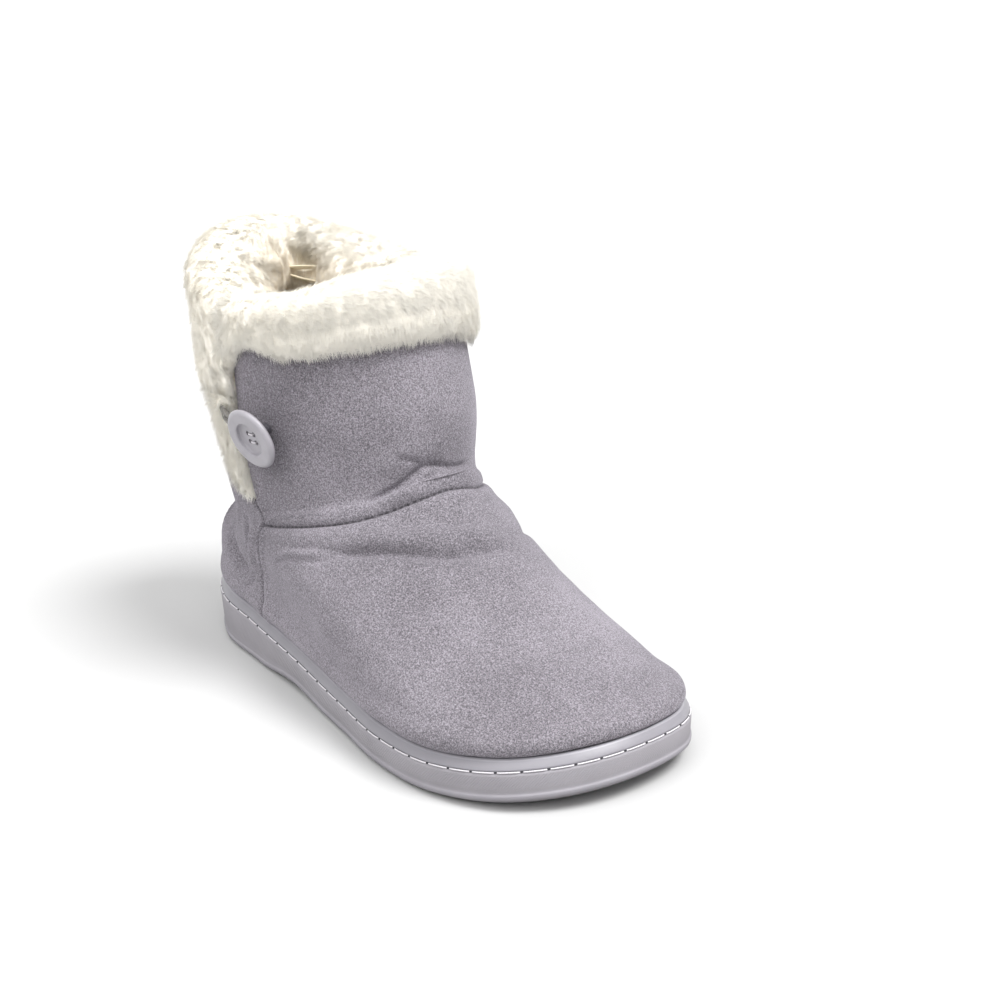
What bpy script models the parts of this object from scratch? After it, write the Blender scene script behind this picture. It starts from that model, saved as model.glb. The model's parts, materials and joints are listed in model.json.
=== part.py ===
"""Ankle-high bootie slipper for the right foot: moulded cup sole, hollow suede upper
with an open vent at each side, turned-down fur cuffs, a button with its elastic loop.

Frame: +X towards the toe, +Y towards the other foot, +Z up. The origin is on the floor,
in the middle of the flat spot under the heel.
"""

import math
from collections import namedtuple

import bmesh
import bpy
import numpy as np

MM = 0.001

# Driving dimensions of the sole
SOLE_LENGTH = 262 * MM
HEEL_WIDTH = 75 * MM
WAIST_WIDTH = 79 * MM
BALL_WIDTH = 101 * MM
HEEL_SEAT = 40 * MM            # from the sole's back edge forward to the origin
BALL_SEAT = 172 * MM           # from the back edge to the middle of the forefoot's flat spot
HEEL_STACK = 25 * MM           # floor to the rand's top edge at the heel
BALL_STACK = 17 * MM           # the same under the ball of the foot
TOE_SPRING = 7 * MM
ARCH_LIFT = 2.2 * MM
RAND_HEIGHT = 4.6 * MM         # from the stitch line up to the rand's edge
RAND_SLOPE = 2.9 * MM          # how far the rand leans in over its height
RAND_LIP = 2.0 * MM            # thickness of the rand's top edge
STITCH_GROOVE = 1.0 * MM
FOXING_HEIGHT = 3.4 * MM       # smooth band along the foot of the side wall
FOXING_STEP = 0.5 * MM
EDGE_CHAMFER = 2.2 * MM
FLOOR_DEPTH = 8.2 * MM         # cup floor below the rand's edge
LUG_DEPTH = 2.2 * MM
LUG_PITCH = 11 * MM
LUG_GROOVE = 3.6 * MM
LUG_CHEVRON = 5.5 * MM         # how far a groove's middle lies ahead of its ends
HEEL_GROOVE_COUNT = 6
BALL_GROOVE_COUNT = 8
LUG_MARGIN = 8 * MM            # uncut rim round the tread

# Driving dimensions of the upper
WALL = 3 * MM                  # suede, backing and lining cloth
SHAFT_DEPTH = 138 * MM         # back to front above the instep seam
SHAFT_WIDTH = 92 * MM
INSTEP_HEIGHT = 71 * MM        # front seam above the rand's edge
COLLAR_FRONT = 149 * MM        # wall's top above the rand's edge
COLLAR_BACK = 146 * MM
COLLAR_DIP = 17 * MM           # how much lower the collar is at the outer side
COLLAR_DIP_MEDIAL = 13 * MM    # the same at the inner side
COLLAR_DIP_POWER = 2.5         # how suddenly it dips
SHAFT_SHIFT = 5 * MM           # the shaft stands off the sole's axis, towards the other foot
VENT_WIDTH = 10 * MM           # at the collar
SEAM_WIDTH = 3.2 * MM
SEAM_DEPTH = 0.9 * MM
CLEARANCE = 0.35 * MM          # between two soft pieces that touch

# Driving dimensions of fur, insole and trim
PILE = 7.5 * MM                # fur outside the wall
PILE_INSIDE = 6.5 * MM
PILE_CREST = 9 * MM            # fur above the wall's top edge
FRONT_CUFF_DROP = 25 * MM      # how far the cuffs are turned down outside
REAR_CUFF_DROP = 44 * MM
CUFF_LINING = 26 * MM          # how far their fur is modelled inside
LOCK_RELIEF = 1.2 * MM
LOCK_TIP = 2.6 * MM            # how much longer every second lock hangs
EDGING_WIDTH = 22 * MM         # fur behind a vent, measured on the wall
EDGING_END = 2 * MM            # the edging stops this far above the vent's tip
INSOLE_THICKNESS = 6 * MM
BUTTON_RADIUS = 12.8 * MM
BUTTON_THICKNESS = 3.4 * MM
BUTTON_WELL_RADIUS = 6.6 * MM
BUTTON_WELL_DEPTH = 1.3 * MM
BUTTON_HOLE_RADIUS = 1.1 * MM
BUTTON_HOLE_CIRCLE = 2.6 * MM  # holes' centres from the button's centre
BUTTON_STANDOFF = 7.4 * MM     # from the wall to the button's back
BUTTON_AHEAD = 23 * MM       # from the vent's front edge to the button's middle
BUTTON_HEIGHT = 34 * MM        # the button's middle above the vent's tip
BUTTON_TILT = math.radians(16)  # its face turned down
SHANK_RADIUS = 2.2 * MM
ELASTIC_RADIUS = 1.15 * MM
ELASTIC_TAIL = 3 * MM          # its ends go this far behind the vent's rear edge
RIBBON_WIDTH = 5 * MM
RIBBON_THICKNESS = 1.0 * MM
RIBBON_LENGTH = 21 * MM
RIBBON_GAP = 6 * MM            # between the two strands of the hang loop
RIBBON_BELOW = 17 * MM         # under the wall's top edge
RIBBON_ASIDE = 17 * MM         # from the heel's middle, towards the other foot

# How finely the rings are divided: columns on one side of the shoe
REAR_COLUMNS = 12
FRONT_COLUMNS = 16
DENSE = 12                     # samples on a column between two control rings
FRONT_CUFF_STEPS = 42
REAR_CUFF_STEPS = 40
EDGING_STEPS = 12
BUTTON_SIDES = 28
HOLE_SIDES = 10

Station = namedtuple("Station", "along lateral medial width")
FOOT_STATIONS = (
    # share of the sole's length, shares of the named width on either side
    Station(0.035, 0.27, 0.27, HEEL_WIDTH),
    Station(0.130, 0.475, 0.465, HEEL_WIDTH),
    Station(0.260, 0.530, 0.500, HEEL_WIDTH),
    Station(0.420, 0.545, 0.470, WAIST_WIDTH),
    Station(0.570, 0.475, 0.430, BALL_WIDTH),
    Station(0.700, 0.520, 0.510, BALL_WIDTH),
    Station(0.820, 0.495, 0.525, BALL_WIDTH),
    Station(0.920, 0.370, 0.475, BALL_WIDTH),
    Station(0.978, 0.180, 0.340, BALL_WIDTH),
)
TOE_TIP_SHIFT = 0.09           # of the ball width, towards the other foot

Ring = namedtuple("Ring", "rise_back rise_front back front lateral medial round side shift")
UPPER_RINGS = (
    # rises: shares of the collar's and the instep's height; back, front: shares of the sole's
    # length; lateral, medial: shares of the ball's width, and of the shaft's where the ring is
    # round; round: 0 follows the sole, 1 an oval; side: where the side seam crosses, a share of
    # the ring; shift: share of the shaft's shift
    Ring(0.045, 0.06, 0.014, 0.980, 0.480, 0.475, 0.00, 0.300, 0.0),
    Ring(0.090, 0.18, 0.012, 0.938, 0.475, 0.460, 0.05, 0.315, 0.0),
    Ring(0.130, 0.40, 0.014, 0.822, 0.465, 0.450, 0.20, 0.360, 0.1),
    Ring(0.160, 0.64, 0.021, 0.710, 0.465, 0.455, 0.45, 0.420, 0.3),
    Ring(0.185, 0.86, 0.030, 0.630, 0.470, 0.470, 0.75, 0.490, 0.6),
    Ring(0.212, 1.00, 0.040, 0.586, 0.475, 0.480, 1.00, 0.537, 0.9),
)
Shaft = namedtuple("Shaft", "height back depth lateral medial side vent")
SHAFT_RINGS = (
    # height: share from the instep seam up to the collar; back: share of the shaft's depth
    # ahead of the sole's back edge; depth, lateral, medial: shares of the shaft's depth and
    # width; side: as above; vent: share of the vent's width
    Shaft(0.07, 0.090, 0.988, 0.480, 0.490, 0.500, 0.0),
    Shaft(0.36, 0.096, 0.990, 0.490, 0.505, 0.452, 0.36),
    Shaft(0.68, 0.085, 0.965, 0.495, 0.505, 0.472, 0.72),
    Shaft(1.00, 0.078, 0.945, 0.495, 0.500, 0.500, 1.0),
)
HEIGHT_POWER = 1.3             # how a ring's height runs from its back to its front
INSTEP_RING = 1 + len(UPPER_RINGS)
VENT_TIP_RING = 2 + len(UPPER_RINGS)

Hem = namedtuple("Hem", "along drop")
FRONT_HEM = (
    # share of the way from the outer vent round to the inner one, share of the cuff's drop
    Hem(0.00, 0.42), Hem(0.15, 0.62), Hem(0.35, 0.78), Hem(0.55, 0.84), Hem(0.75, 1.00), Hem(1.00, 0.92),
)
REAR_HEM = (
    # the same from the inner vent round the heel to the outer one
    Hem(0.00, 0.96), Hem(0.25, 0.96), Hem(0.50, 0.90), Hem(0.69, 1.06), Hem(1.00, 0.72),
)


def smooth_through(points, params, samples):
    """Points on a smooth curve through the given ones, at the sample parameters."""
    points = np.asarray(points, float)
    params = np.asarray(params, float)
    steps = np.diff(params)
    slopes = np.diff(points, axis=0) / steps[:, None]
    tangents = np.empty_like(points)
    tangents[0], tangents[-1] = slopes[0], slopes[-1]
    weight = (steps[:-1] / (steps[:-1] + steps[1:]))[:, None]
    tangents[1:-1] = slopes[:-1] * (1 - weight) + slopes[1:] * weight
    samples = np.asarray(samples, float)
    place = np.clip(np.searchsorted(params, samples, side="right") - 1, 0, len(steps) - 1)
    step = steps[place][:, None]
    t = (samples - params[place])[:, None] / step
    return ((2 * t**3 - 3 * t**2 + 1) * points[place] + (t**3 - 2 * t**2 + t) * step * tangents[place]
            + (3 * t**2 - 2 * t**3) * points[place + 1] + (t**3 - t**2) * step * tangents[place + 1])


def arc_lengths(points):
    """The distance of each point from the first one, along their polyline."""
    return np.r_[0.0, np.cumsum(np.linalg.norm(np.diff(points, axis=0), axis=1))]


def at_lengths(points, lengths):
    """Points at the given distances along a polyline."""
    total = arc_lengths(points)
    return np.stack([np.interp(lengths, total, points[:, k]) for k in range(points.shape[1])], axis=1)


def foot_outline():
    """The sole's outline as two dense curves from heel to toe: (lateral, medial), in metres."""
    toe = (SOLE_LENGTH, TOE_TIP_SHIFT * BALL_WIDTH)
    lateral = [(s.along * SOLE_LENGTH, -s.lateral * s.width) for s in FOOT_STATIONS]
    medial = [(s.along * SOLE_LENGTH, s.medial * s.width) for s in FOOT_STATIONS]
    loop = [(0.0, 0.0)] + lateral + [toe] + medial[::-1]
    closed = np.array(loop * 3 + loop[:1])
    chord = arc_lengths(closed)
    first, last = len(loop), 2 * len(loop)
    dense = smooth_through(closed, chord, np.linspace(chord[first], chord[last], 1441))
    tip = dense[:, 0].argmax()
    return dense[:tip + 1], dense[tip:][::-1]


def oval_outline():
    """A unit oval as two dense curves: along runs from 0 to 1, across from -1 to 1."""
    angle = np.linspace(0.0, math.pi, 361)
    along = 0.5 - 0.5 * np.cos(angle)
    return np.c_[along, -np.sin(angle)], np.c_[along, np.sin(angle)]


FOOT_SIDES = foot_outline()
OVAL_SIDES = oval_outline()


def divide_side(curve, side, gap, flank):
    """Columns on one side from back to front: the last rear one lies `gap` behind the
    side seam, one stands on the seam and one lies `flank` ahead of it."""
    total = arc_lengths(curve)
    seam = np.interp(side, curve[:, 0] / curve[-1, 0], total)
    rear = np.linspace(0.0, seam - gap, REAR_COLUMNS + 1)
    front = np.linspace(seam + flank, total[-1], FRONT_COLUMNS + 1)
    return at_lengths(curve, np.r_[rear, seam, front])


def closed_ring(lateral, medial):
    """Back point, lateral side, toe point, medial side, in one closed round."""
    return np.r_[lateral, medial[-2:0:-1]]


SIDE_COUNT = REAR_COLUMNS + FRONT_COLUMNS + 3
COLUMNS = 2 * SIDE_COUNT - 2
LATERAL_SEAM = REAR_COLUMNS + 1
MEDIAL_SEAM = COLUMNS - LATERAL_SEAM


def sole_top(x):
    """Height of the rand's edge above the floor, at a distance from the sole's back."""
    s = np.asarray(x) / SOLE_LENGTH
    fall = np.clip((s - 0.08) / 0.55, 0.0, 1.0)
    ease = fall * fall * (3 - 2 * fall)
    return HEEL_STACK + (BALL_STACK - HEEL_STACK) * ease + toe_lift(x)


def toe_lift(x):
    """How far the toe springs up from the floor."""
    s = np.clip((np.asarray(x) / SOLE_LENGTH - 0.73) / 0.27, 0.0, None)
    return TOE_SPRING * s**2


def tread(x):
    """Height of the sole's underside: flat at heel and ball, lifted at arch and toe."""
    s = np.asarray(x) / SOLE_LENGTH
    arch = np.clip(1 - ((s - 0.395) / 0.115)**2, 0.0, None)**2
    return ARCH_LIFT * arch + toe_lift(x)


def sole_ring(inset):
    """The sole's outline, moved in by a distance, at the shoe's columns."""
    side = UPPER_RINGS[0].side
    flank = SEAM_WIDTH / 2
    ring = closed_ring(*(divide_side(c, side, flank, flank) for c in FOOT_SIDES))
    ahead, behind = np.roll(ring, -1, axis=0), np.roll(ring, 1, axis=0)
    run = ahead - behind
    inward = np.c_[-run[:, 1], run[:, 0]] / np.linalg.norm(run, axis=1)[:, None]
    return ring + inward * np.reshape(inset, (-1, 1))


def shaped_ring(back, front, lateral, medial, mix, side, gap, shift):
    """A ring between the foot's outline and an oval, stretched to its own sizes."""
    flank = SEAM_WIDTH / 2
    half = BALL_WIDTH / 2
    sides = []
    for foot, oval, reach in zip(FOOT_SIDES, OVAL_SIDES, (lateral, medial)):
        unit_foot = np.c_[foot[:, 0] / SOLE_LENGTH, foot[:, 1] / half]
        stations = np.linspace(0.0, 1.0, 721)
        blend = (resample(unit_foot, stations) * (1 - mix) + resample(oval, stations) * mix)
        curve = np.c_[back + (front - back) * blend[:, 0], blend[:, 1] * reach]
        local = np.c_[curve[:, 0] - back, curve[:, 1]]
        cut = divide_side(local, side, gap, flank)
        sides.append(np.c_[cut[:, 0] + back, cut[:, 1] + shift])
    return closed_ring(*sides)


def resample(curve, shares):
    """Points at the given shares of a curve's length."""
    total = arc_lengths(curve)
    return at_lengths(curve, shares * total[-1])


def ring_heights(ring, back, front, rise_back, rise_front):
    """Heights above the floor, risen from the rand's edge by so much at the ring's two ends."""
    share = np.clip((ring[:, 0] - back) / (front - back), 0.0, 1.0)
    return sole_top(ring[:, 0]) + rise_back + (rise_front - rise_back) * share**HEIGHT_POWER


def control_rings():
    """All rings that the upper's outer face passes through, from the cup floor up."""
    flank = SEAM_WIDTH / 2
    inset = RAND_SLOPE + RAND_LIP + CLEARANCE
    foot = sole_ring(inset)
    rings = [np.c_[foot, sole_top(foot[:, 0]) - FLOOR_DEPTH + CLEARANCE], np.c_[foot, sole_top(foot[:, 0])]]
    for row in UPPER_RINGS:
        back, front = row.back * SOLE_LENGTH, row.front * SOLE_LENGTH
        ring = shaped_ring(back, front, row.lateral * upper_width(row), row.medial * upper_width(row),
                           row.round, row.side, flank, row.shift * SHAFT_SHIFT)
        rise = row.rise_back * COLLAR_BACK, row.rise_front * INSTEP_HEIGHT
        rings.append(np.c_[ring, ring_heights(ring, back, front, *rise)])
    seam = UPPER_RINGS[-1]
    low_back, low_front = seam.rise_back * COLLAR_BACK, INSTEP_HEIGHT
    for row in SHAFT_RINGS:
        back = row.back * SHAFT_DEPTH
        front = back + row.depth * SHAFT_DEPTH
        gap = flank + row.vent * (VENT_WIDTH - flank)
        ring = shaped_ring(back, front, row.lateral * SHAFT_WIDTH, row.medial * SHAFT_WIDTH, 1.0,
                           row.side, gap, SHAFT_SHIFT)
        rise_back = low_back + row.height * (COLLAR_BACK - low_back)
        rise_front = low_front + row.height * (COLLAR_FRONT - low_front)
        z = ring_heights(ring, back, front, rise_back, rise_front)
        across = (ring[:, 1] - SHAFT_SHIFT) / (SHAFT_WIDTH / 2)
        depth = np.where(across < 0, COLLAR_DIP, COLLAR_DIP_MEDIAL) * row.height**2
        rings.append(np.c_[ring, z - depth * np.clip(np.abs(across), 0.0, 1.0)**COLLAR_DIP_POWER])
    return rings


def upper_width(row):
    """Low rings follow the ball's width, high ones the shaft's."""
    return BALL_WIDTH * (1 - row.round) + SHAFT_WIDTH * row.round


def upper_surface():
    """The outer face as an array of points: dense rows by columns."""
    rings = np.array(control_rings())
    count = len(rings)
    surface = []
    for column in range(COLUMNS):
        points = rings[:, column]
        samples = np.concatenate([np.linspace(0, 1, DENSE, endpoint=False) + k for k in range(count - 1)])
        surface.append(smooth_through(points, np.arange(count), np.r_[samples, count - 1.0]))
    return np.array(surface).transpose(1, 0, 2)


def face_normals(surface):
    """Outward unit normals of a closed round of columns."""
    around = np.roll(surface, -1, axis=1) - np.roll(surface, 1, axis=1)
    upward = np.gradient(surface, axis=0)
    normal = np.cross(around, upward)
    return normal / np.linalg.norm(normal, axis=2, keepdims=True)


SURFACE = upper_surface()
NORMALS = face_normals(SURFACE)


def on_wall(column, below, offset):
    """A point at a distance below the wall's top edge, along a column that may be a
    fraction, and moved out from the wall's outer face. Above the edge it goes straight on."""
    whole = int(math.floor(column))
    part = column - whole
    points = []
    for step, weight in ((whole, 1 - part), (whole + 1, part)):
        if weight == 0.0:
            continue
        line = SURFACE[::-1, step % COLUMNS]
        out = NORMALS[::-1, step % COLUMNS]
        reach = arc_lengths(line)
        point = np.array([np.interp(below, reach, line[:, k]) for k in range(3)])
        normal = np.array([np.interp(below, reach, out[:, k]) for k in range(3)])
        if below < 0.0:
            point = line[0] + (line[0] - line[2]) / np.linalg.norm(line[0] - line[2]) * -below
        points.append((point + normal * offset) * weight)
    return sum(points)


def to_frame(points):
    """From the sole's back edge to the frame's origin under the heel."""
    return [(float(x) - HEEL_SEAT, float(y), float(z)) for x, y, z in points]


def make_object(name, points, faces, material, sharp_angle=50):
    mesh = bpy.data.meshes.new(name)
    mesh.from_pydata(to_frame(points), [], faces)
    mesh.validate()
    work = bmesh.new()
    work.from_mesh(mesh)
    bmesh.ops.recalc_face_normals(work, faces=work.faces)
    bmesh.ops.triangulate(work, faces=work.faces)
    work.to_mesh(mesh)
    work.free()
    mesh.shade_smooth()
    mesh.set_sharp_from_angle(angle=math.radians(sharp_angle))
    mesh.materials.append(material)
    obj = bpy.data.objects.new(name, mesh)
    bpy.context.collection.objects.link(obj)
    return obj


def make_material(name, colour, roughness):
    material = bpy.data.materials.new(name)
    material.use_nodes = True
    shader = material.node_tree.nodes["Principled BSDF"]
    shader.inputs["Base Color"].default_value = (*colour, 1.0)
    shader.inputs["Roughness"].default_value = roughness
    shader.inputs["Metallic"].default_value = 0.0
    return material


def ring_faces(first, second, count):
    """Quads between two closed rings of points, given their first indices."""
    return [(first + k, first + (k + 1) % count, second + (k + 1) % count, second + k) for k in range(count)]


def ladder_faces(first, count):
    """Quads from the lateral to the medial side, which fill a closed ring."""
    faces = [(first, first + 1, first + count - 1)]
    for k in range(1, count // 2 - 1):
        faces.append((first + k, first + k + 1, first + count - k - 1, first + count - k))
    faces.append((first + count // 2 - 1, first + count // 2, first + count // 2 + 1))
    return faces


def stacked_solid(name, rings, material, sharp_angle=50):
    """A closed solid from rings stacked one on the other, filled at both ends."""
    count = len(rings[0])
    points = np.concatenate(rings)
    faces = ladder_faces(0, count)
    for k in range(len(rings) - 1):
        faces += ring_faces(k * count, (k + 1) * count, count)
    faces += ladder_faces((len(rings) - 1) * count, count)
    return make_object(name, points, faces, material, sharp_angle)


def build_outsole(material):
    """The moulded cup sole: tread, side wall, stitch groove, leaning rand, cup floor."""
    def level(inset, height):
        ring = sole_ring(inset)
        return np.c_[ring, height(ring[:, 0])]

    def stitch(x):
        return sole_top(x) - RAND_HEIGHT

    rings = [
        level(EDGE_CHAMFER + FOXING_STEP, tread),
        level(FOXING_STEP * 0.4, lambda x: tread(x) + EDGE_CHAMFER * 0.8),
        level(0.0, lambda x: tread(x) + FOXING_HEIGHT),
        level(FOXING_STEP, lambda x: tread(x) + FOXING_HEIGHT + FOXING_STEP),
        level(FOXING_STEP * 0.6, lambda x: (tread(x) + stitch(x)) / 2),
        level(0.0, lambda x: stitch(x) - STITCH_GROOVE),
        level(STITCH_GROOVE, stitch),
        level(STITCH_GROOVE * 0.5, lambda x: stitch(x) + STITCH_GROOVE * 0.8),
        level(RAND_SLOPE * 0.75, lambda x: sole_top(x) - RAND_HEIGHT * 0.35),
        level(RAND_SLOPE, lambda x: sole_top(x) - RAND_LIP * 0.35),
        level(RAND_SLOPE + RAND_LIP * 0.5, sole_top),
        level(RAND_SLOPE + RAND_LIP, lambda x: sole_top(x) - RAND_LIP * 0.35),
        level(RAND_SLOPE + RAND_LIP, lambda x: sole_top(x) - FLOOR_DEPTH),
    ]
    sole = stacked_solid("outsole", rings, material, 35)
    cutter = tread_grooves()
    cut = sole.modifiers.new("Tread", "BOOLEAN")
    cut.operation = "DIFFERENCE"
    cut.solver = "EXACT"
    cut.object = cutter
    return sole


def half_widths(x):
    """Distances of the sole's two edges from the long axis."""
    return [np.interp(x, side[:, 0], np.abs(side[:, 1])) for side in FOOT_SIDES]


def tread_grooves():
    """Bowed grooves that leave the lugs standing, inside an uncut rim; a lug lies in the
    middle of either flat spot."""
    points, faces = [], []
    seats = ((HEEL_SEAT, HEEL_GROOVE_COUNT), (BALL_SEAT, BALL_GROOVE_COUNT))
    starts = [seat + LUG_PITCH * (k - (count - 1) / 2) for seat, count in seats for k in range(count)]
    for start in starts:
        lateral, medial = (w - LUG_MARGIN for w in half_widths(start))
        spine = []
        for share in (-1.0, -0.5, 0.0, 0.5, 1.0):
            reach = lateral if share < 0 else medial
            spine.append((start - LUG_CHEVRON * share * share, share * reach))
        first = len(points)
        for x, y in spine:
            for edge in (-LUG_GROOVE / 2, LUG_GROOVE / 2):
                roof = tread(x + edge) + LUG_DEPTH
                points += [(x + edge, y, roof - 2 * LUG_DEPTH), (x + edge, y, roof)]
        faces.append((first, first + 1, first + 3, first + 2))
        for k in range(len(spine) - 1):
            a = first + 4 * k
            for i, j in ((0, 1), (1, 3), (3, 2), (2, 0)):
                faces.append((a + i, a + i + 4, a + j + 4, a + j))
        last = first + 4 * (len(spine) - 1)
        faces.append((last, last + 2, last + 3, last + 1))
    cutter = make_object("tread_cutter", points, faces, None)
    cutter.hide_render = True
    cutter.display_type = "WIRE"
    return cutter


def build_insole(material):
    """The footbed inside the upper, cushioned at its edge, laid on the cup floor."""
    edge = RAND_SLOPE + RAND_LIP + 2 * CLEARANCE + WALL

    def level(inset, height):
        ring = sole_ring(edge + inset)
        return np.c_[ring, sole_top(ring[:, 0]) - FLOOR_DEPTH + CLEARANCE + height]

    soft = INSOLE_THICKNESS * 0.35
    rings = [
        level(0.0, 0.0),
        level(0.0, INSOLE_THICKNESS - soft),
        level(soft * 0.6, INSOLE_THICKNESS - soft * 0.3),
        level(soft * 2.0, INSOLE_THICKNESS),
    ]
    return stacked_solid("insole", rings, material)


def upper_rows():
    """Rows of the outer face, as dense row numbers: closer where the form turns, and one
    on either side of the instep seam."""
    shares = [(0.0,), (0.0,), (0.0, 0.5), (0.0, 0.5), (0.0, 0.5), (0.0, 0.5), (0.0, 0.84), (0.0, 0.34),
              (0.0, 0.5), (0.0, 0.33, 0.67), (0.0, 0.5)]
    rows = [interval * DENSE + round(DENSE * share) for interval, row in enumerate(shares) for share in row]
    return rows + [len(shares) * DENSE]


def groove_depths(rows):
    """How far each vertex is pressed in by the seams: rows by columns."""
    depth = np.zeros((len(rows), COLUMNS))
    tip_row = rows.index(VENT_TIP_RING * DENSE)
    depth[rows.index(INSTEP_RING * DENSE), LATERAL_SEAM:MEDIAL_SEAM + 1] = SEAM_DEPTH
    depth[2:tip_row, LATERAL_SEAM] = SEAM_DEPTH
    depth[2:tip_row, MEDIAL_SEAM] = SEAM_DEPTH
    return depth


def build_upper(material):
    """The hollow upper: outer face, inner face, both vents left open between two columns."""
    rows = upper_rows()
    tip = VENT_TIP_RING * DENSE
    inner_rows = [row for row in rows if row % DENSE == 0 or row >= tip]
    outer = SURFACE[rows] - NORMALS[rows] * groove_depths(rows)[:, :, None]
    inner = SURFACE[inner_rows] - NORMALS[inner_rows] * WALL
    points = np.concatenate([outer.reshape(-1, 3), inner.reshape(-1, 3)])
    vent_columns = (LATERAL_SEAM - 1, MEDIAL_SEAM)
    outside = {row: place * COLUMNS for place, row in enumerate(rows)}
    inside = {row: (len(rows) + place) * COLUMNS for place, row in enumerate(inner_rows)}
    faces = []
    for starts, levels in ((outside, rows), (inside, inner_rows)):
        for low, high in zip(levels, levels[1:]):
            for column in range(COLUMNS):
                if column in vent_columns and low >= tip:
                    continue
                right = (column + 1) % COLUMNS
                a, b = starts[low] + column, starts[low] + right
                c, d = starts[high] + right, starts[high] + column
                faces.append((a, b, c, d) if starts is outside else (d, c, b, a))
    open_rows = [row for row in rows if row >= tip]
    for column in vent_columns:
        for low, high in zip(open_rows, open_rows[1:]):
            a, b = outside[low] + column, outside[high] + column
            c, d = inside[high] + column, inside[low] + column
            faces += [(a, b, c, d), (b + 1, a + 1, d + 1, c + 1)]
        a, d = outside[tip] + column, inside[tip] + column
        faces.append((a + 1, a, d, d + 1))
    for column in range(COLUMNS):
        right = (column + 1) % COLUMNS
        a, b = outside[rows[0]], inside[rows[0]]
        faces.append((a + right, a + column, b + column, b + right))
        if column not in vent_columns:
            a, b = outside[rows[-1]], inside[rows[-1]]
            faces.append((a + column, a + right, b + right, b + column))
    return make_object("upper", points, faces, material)


def lock_wave(step, row):
    """Relief of the fur's locks: staggered bumps over the steps and rows of a pelt."""
    stagger = math.cos(math.pi * (step + 0.9 * row))
    drift = math.sin(1.7 * step + 2.3 * row)
    return LOCK_RELIEF * (0.6 * stagger + 0.4 * drift)


Turn = namedtuple("Turn", "below offset lock")


def cuff_section(step, drop, hem_pile):
    """One cross-section of a turned-down cuff: up inside the wall, over and down outside
    with the seat against the wall, then back round the fur's own surface."""
    tip = LOCK_TIP * (step % 2)
    inside = -WALL - CLEARANCE
    seat = (
        Turn(CUFF_LINING, inside - PILE_INSIDE * 0.25, 0),
        Turn(CUFF_LINING * 0.66, inside, 0),
        Turn(CUFF_LINING * 0.33, inside, 0),
        Turn(-CLEARANCE, inside, 0),
        Turn(-CLEARANCE, CLEARANCE, 0),
        Turn(drop * 0.33, CLEARANCE, 0),
        Turn(drop * 0.66, CLEARANCE, 0),
        Turn(drop, CLEARANCE, 0),
    )
    pelt = (
        Turn(drop + CLEARANCE + tip, PILE * 0.35, 0),
        Turn(drop * 0.94, PILE * hem_pile, 1),
        Turn(drop * 0.62, PILE * 1.02, 2),
        Turn(drop * 0.28, PILE * 1.00, 3),
        Turn(-PILE_CREST * 0.50, PILE * 0.70, 4),
        Turn(-PILE_CREST, PILE * 0.02, 5),
        Turn(-PILE_CREST * 0.85, -WALL - PILE_INSIDE * 0.45, 6),
        Turn(-PILE_CREST * 0.1, -WALL - PILE_INSIDE * 1.05, 7),
        Turn(CUFF_LINING * 0.4, -WALL - PILE_INSIDE * 1.02, 8),
        Turn(CUFF_LINING * 0.8, -WALL - PILE_INSIDE * 0.9, 9),
    )
    section = [(turn.below, turn.offset) for turn in seat]
    for turn in pelt:
        outward = 1.0 if turn.lock < 6 else -1.0
        relief = lock_wave(step, turn.lock) if turn.lock else 0.0
        section.append((turn.below, turn.offset + outward * relief))
    return section


def swept_pelt(name, columns, section_at, material):
    """A pelt swept along the columns of the wall, closed at both ends."""
    points = []
    for step, column in enumerate(columns):
        points += [on_wall(column, below, offset) for below, offset in section_at(step, column)]
    size = len(section_at(0, columns[0]))
    faces = [tuple(range(size))]
    for step in range(len(columns) - 1):
        faces += ring_faces(step * size, (step + 1) * size, size)
    faces.append(tuple(range((len(columns) - 1) * size, len(columns) * size)))
    return make_object(name, points, faces, material, 80)


def hem_drop(hem, share, drop):
    """How far a cuff is turned down, at a share of its way round."""
    stations = np.array([row.along for row in hem])
    shares = np.array([[row.drop] for row in hem])
    return drop * smooth_through(shares, stations, [share])[0, 0]


Cuff = namedtuple("Cuff", "first last steps hem drop hem_pile")
FRONT_CUFF = Cuff(LATERAL_SEAM, MEDIAL_SEAM, FRONT_CUFF_STEPS, FRONT_HEM, FRONT_CUFF_DROP, 0.70)
REAR_CUFF = Cuff(MEDIAL_SEAM - COLUMNS, LATERAL_SEAM, REAR_CUFF_STEPS, REAR_HEM, REAR_CUFF_DROP, 0.95)


def cuff(name, shape, material):
    """A cuff from one column to another; its ends keep clear of those of its neighbour."""
    start = walk(shape.first, 0.0, CLEARANCE)
    end = walk(shape.last, 0.0, -CLEARANCE)

    def section_at(step, column):
        share = (column - shape.first) / (shape.last - shape.first)
        return cuff_section(step, hem_drop(shape.hem, share, shape.drop), shape.hem_pile)

    return swept_pelt(name, np.linspace(start, end, shape.steps), section_at, material)


def walk(column, below, distance):
    """The column at a distance along the wall from another one, measured level."""
    step = 1 if distance > 0 else -1
    left = abs(distance)
    place = float(column)
    here = on_wall(place, below, 0.0)
    while True:
        there = on_wall(place + step, below, 0.0)
        span = np.linalg.norm(there - here)
        if span >= left:
            return place + step * left / span
        left -= span
        place += step
        here = there


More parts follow.
